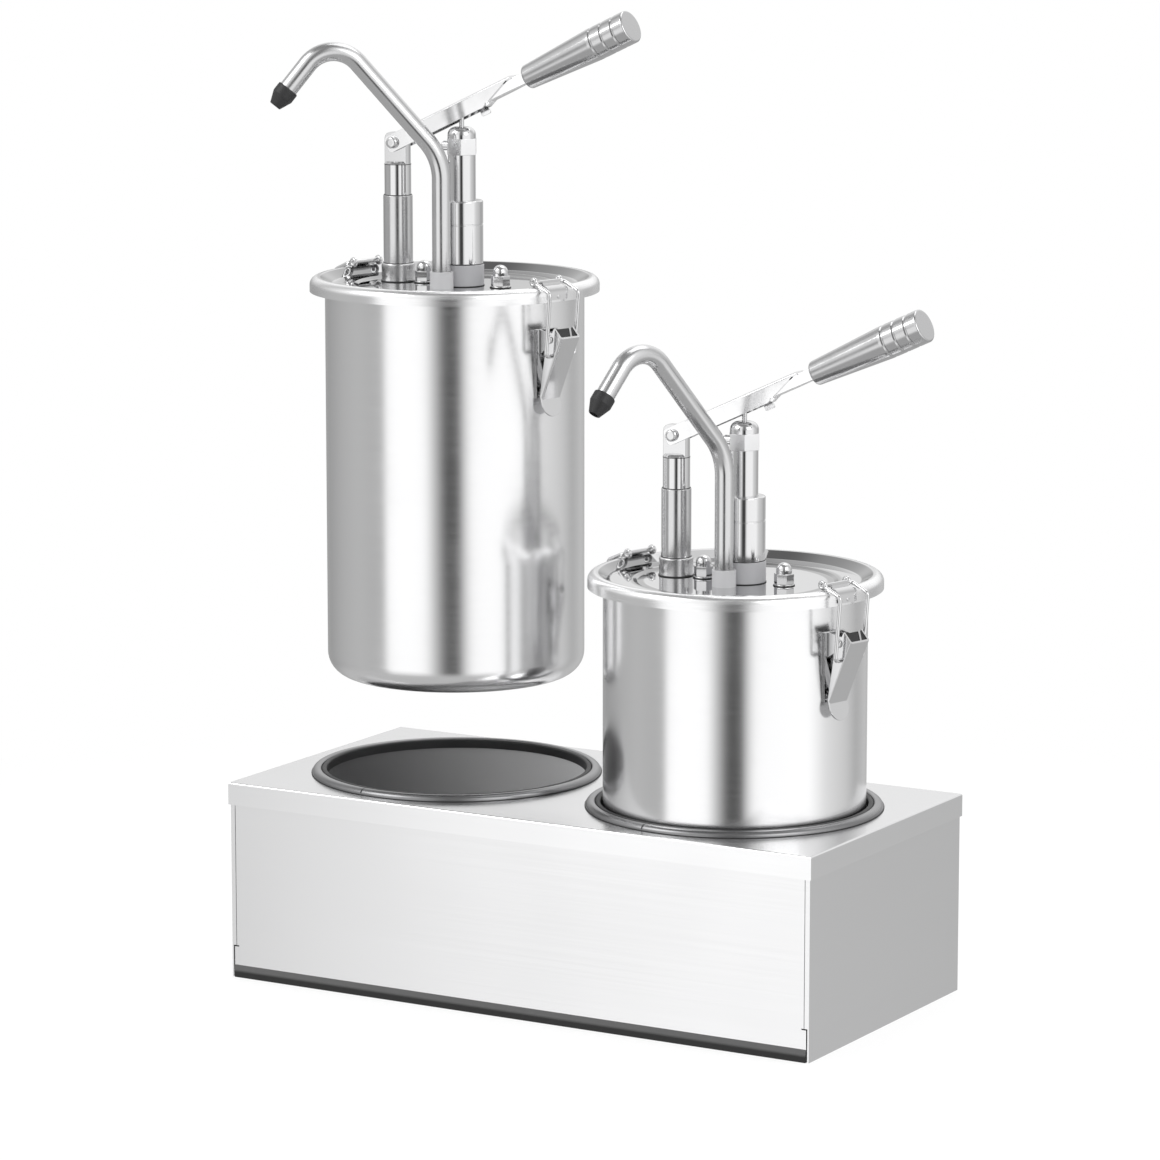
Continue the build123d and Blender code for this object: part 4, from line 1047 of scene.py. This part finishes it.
def plateMesh():
    top, r, count = jar["top"], jar["radius"], plate["arcSteps"]
    spread = plate["width"] / 2 / r
    inner, outer = ([((r + lift) * cos(a * spread / count), (r + lift) * sin(a * spread / count))
        for a in range(-count, count + 1)] for lift in plate["faces"])
    parts = [prismMesh(inner + outer[::-1], top + plate["low"], top + plate["high"], bevel=0.25)]
    pivotR, pivotZ = latch["pivotR"], top + latch["pivotZ"]
    thin, high = plate["earThickness"] / 2, top + plate["high"]
    earY = latch["width"] / 2 - latch["sheet"] - 0.25 - thin
    ear = [(r + 1.0, high - plate["earDrop"]), *arc(pivotR, pivotZ, plate["ear"], -100, 101, 20),
        (r + 1.0, high)]
    for y in (-earY, earY):
        parts.append(prismMesh(ear, -thin, thin, (0, y, 0), bevel=0.2, **upright))
    half, pin, head = latch["width"] / 2 + 1.05, plate["pin"], plate["pinHead"]
    shaft = turnedMesh(rounded([(0, -half, 0), (head, -half, 0.5), (head, -half + 1, 0),
        (pin, -half + 1, 0), (pin, half - 1, 0), (head, half - 1, 0), (head, half, 0.5),
        (0, half, 0)], 4), 32, closed=False)
    parts.append(aimed(shaft, (pivotR, 0, pivotZ), (0, 1, 0)))
    for z in plate["rivets"]:
        rivet = knobMesh(plate["rivet"], plate["rivetHeight"], 0.8, 4, 24)
        parts.append(aimed(rivet, (r + 1.2, 0, top + z), (1, 0, 0)))
    return joined(*parts)


bail = dict(eye=(92.05, -37.2), shoulder=(95.5, 1.2), bar=(82, 6.8), wire=1.25, half=12.2, end=6,
    bends=(0, 2.2, 3, 3, 3, 3, 2.2, 0), loop=1.9, loopIn=1.6)
catch = dict(half=7.5, sheet=1.2, middle=0.65, hookLength=0.6, hookHeights=(2.4, 1.6), low=-7.5,
    rivet=1.3, rivetHeight=0.5, rivetZ=-5.5)


def catchMesh():
    top, middle = lid["top"], catch["middle"]
    hook, edge = bail["bar"][0] + bail["wire"] + 1.0, lid["radius"] + middle
    high, low = (top + middle + height for height in catch["hookHeights"])
    path = rounded([(hook - catch["hookLength"], high, 0), (hook, low, 0.5),
        (hook, top + middle, 1.2), (edge, top + middle, lid["edge"] + middle),
        (edge, top + catch["low"], 0)], 8, support=0.2)
    sheet = prismMesh(sheetLoop(path, catch["sheet"]), -catch["half"], catch["half"], bevel=0.2,
        steps=1, sharp=50, **upright)
    rivet = knobMesh(catch["rivet"], catch["rivetHeight"], 0.45, 4, 20)
    aimed(rivet, (lid["radius"] + 1.2, 0, top + catch["rivetZ"]), (1, 0, 0))
    return joined(sheet, rivet)


# sections: along the face, along the free edge, and the channel's depth there
channel = dict(low=(84, -64.5), top=(101, -26.1), fold=1.2, sections=((0, 1.26, 2.09), (6, 7, 3.5),
    (30, 31.3, 9.5), (42, 45.1, 7.97)), tabAngle=16, tabReach=11.5, tabRoot=1.5, tabAt=(-0.1, 0.6),
    pocket=((40.9, 1.3), (44.2, 7.6)), pocketSheet=0.5, tongueTop=0.8, tongueFoot=(1.2, 2.4, 0.4),
    tongueHead=(3.8, 5.4))


def latchLeverMesh():
    top, sheet, half = jar["top"], latch["sheet"], latch["width"] / 2
    low, high = Vector(channel["low"]), Vector(channel["top"])
    along = (high - low).normalized()
    inward = Vector((-along.y, along.x))

    def place(u, v, y):
        here = low + along * u + inward * v
        return (here.x, y, top + here.y)

    loops = []
    for face, edge, depth in channel["sections"]:
        section = channelLoop(half, sheet, channel["fold"], depth)
        loops.append([place(face + (edge - face) * p.y / depth, p.y, p.x) for p in section])
    turn, reach, root = radians(channel["tabAngle"]), channel["tabReach"] - half, channel["tabRoot"]
    outline = [(-half, -root), (half, -root), (half, reach), *arc(0, reach, half, 9, 180, 9),
        (-half, reach)]
    tabR, tabZ = low + Vector(channel["tabAt"])
    tab = prismMesh(outline, 0, sheet, (tabR, 0, top + tabZ), (0, 1, 0),
        (sin(turn), 0, -cos(turn)), 0.3)
    # a thin sheet that closes the channel's upper end, in black: painted shade of the channel's
    # dark inside
    foot, head = (Vector(place(u, v, 0)) for u, v in channel["pocket"])
    rise, inside, thick = head - foot, half - sheet + 0.1, channel["pocketSheet"]
    pocket = prismMesh(band(-inside, inside, 0, rise.length), 0, thick, foot, (0, 1, 0), rise)
    left, right, start = channel["tongueFoot"]
    upLeft, upRight = channel["tongueHead"]
    tongue = prismMesh([(left, start), (right, start), (upRight, rise.length),
        (upLeft, rise.length)], thick, channel["tongueTop"], foot, (0, 1, 0), rise)
    return joined(loftMesh(loops), tab, tongue), pocket


def bailMesh(name):
    (eyeR, eyeZ), (shoulderR, shoulderZ), (barR, barZ) = (
        (r, jar["top"] + z) for r, z in (bail["eye"], bail["shoulder"], bail["bar"]))
    y, end, wire = bail["half"], bail["end"], bail["wire"]
    points = [(eyeR, -end, eyeZ), (eyeR, -y, eyeZ), (shoulderR, -y, shoulderZ), (barR, -y, barZ),
        (barR, y, barZ), (shoulderR, y, shoulderZ), (eyeR, y, eyeZ), (eyeR, end, eyeZ)]
    curls, section = [], arc(bail["loop"], 0, wire, 0, 360, 30)
    for loopY in (-y + bail["loopIn"], y - bail["loopIn"]):
        ring = aimed(turnedMesh(section, 32), (barR - bail["loop"], loopY, barZ), (0, 1, 0))
        curls.append(metres(ring, "curl"))
    return merged(bentTube(name, points, bail["bends"], wire, 16, 8, "polishedSteel"), *curls)


def makeLatches(side):
    azimuths = {"east": latch["azimuth"], "west": latch["azimuth"] + 180}
    for name, maker, replaced in (("LatchPlates", plateMesh, "latch_plates"),
            ("LatchCatches", catchMesh, "latch_catches")):
        both = joined(*(moved(maker(), turn=turn) for turn in azimuths.values()))
        dress(side, both, name, replaced)
    for end, turn in azimuths.items():
        folded, pocket = latchLeverMesh()
        body = "latch_" + end
        dress(side, folded, "LatchLever_" + end, "latch_lever_" + end, body=body, turn=turn)
        # painted shade: the black sheet inside the latch's upper end
        dress(side, pocket, "LatchPocket_" + end, None, "blackRubber", body, turn=turn)
        loop = placed(bailMesh(side + "LatchBail_" + end), spot(side), turn)
        dress(side, loop, "LatchBail_" + end, "latch_bail_" + end, body="bail_" + end)


# inner and outer radius, low and high above the lid
joints = {
    "post": ((10.2, 10.85, 0.02, 0.6), (9.0, 9.5, 11.45, 11.8), (8.2, 8.75, 53.4, 53.85),
        (8.2, 8.35, 72.4, 72.8)),
    "pump": ((13.3, 13.8, 0.02, 0.5), (12.9, 13.25, 13.4, 13.75)),
    "nut": ((6.1, 6.6, 0.02, 0.45),),
}


def makeJoints(side):
    # painted shade: dark lines where one turned part stands on another
    places = (("post", post["x"]), ("pump", pump["x"]), ("nut", pump["x"] - nuts["reach"]),
        ("nut", pump["x"] + nuts["reach"]))
    rings = [moved(turnedMesh(band(*sizes), 72), x, 0, lid["deck"])
        for part, x in places for sizes in joints[part]]
    dress(side, joined(*rings), "JointRings", None, "blackRubber",
          weighted=False)


makers = (makeJar, makeLid, makePost, makeLever, makePivot, makePump, makeNuts, makeSpring,
    makeSpout, makeLatches, makeJoints)
for side in sides:
    for maker in makers:
        maker(side)
    print(side, "dispenser made")
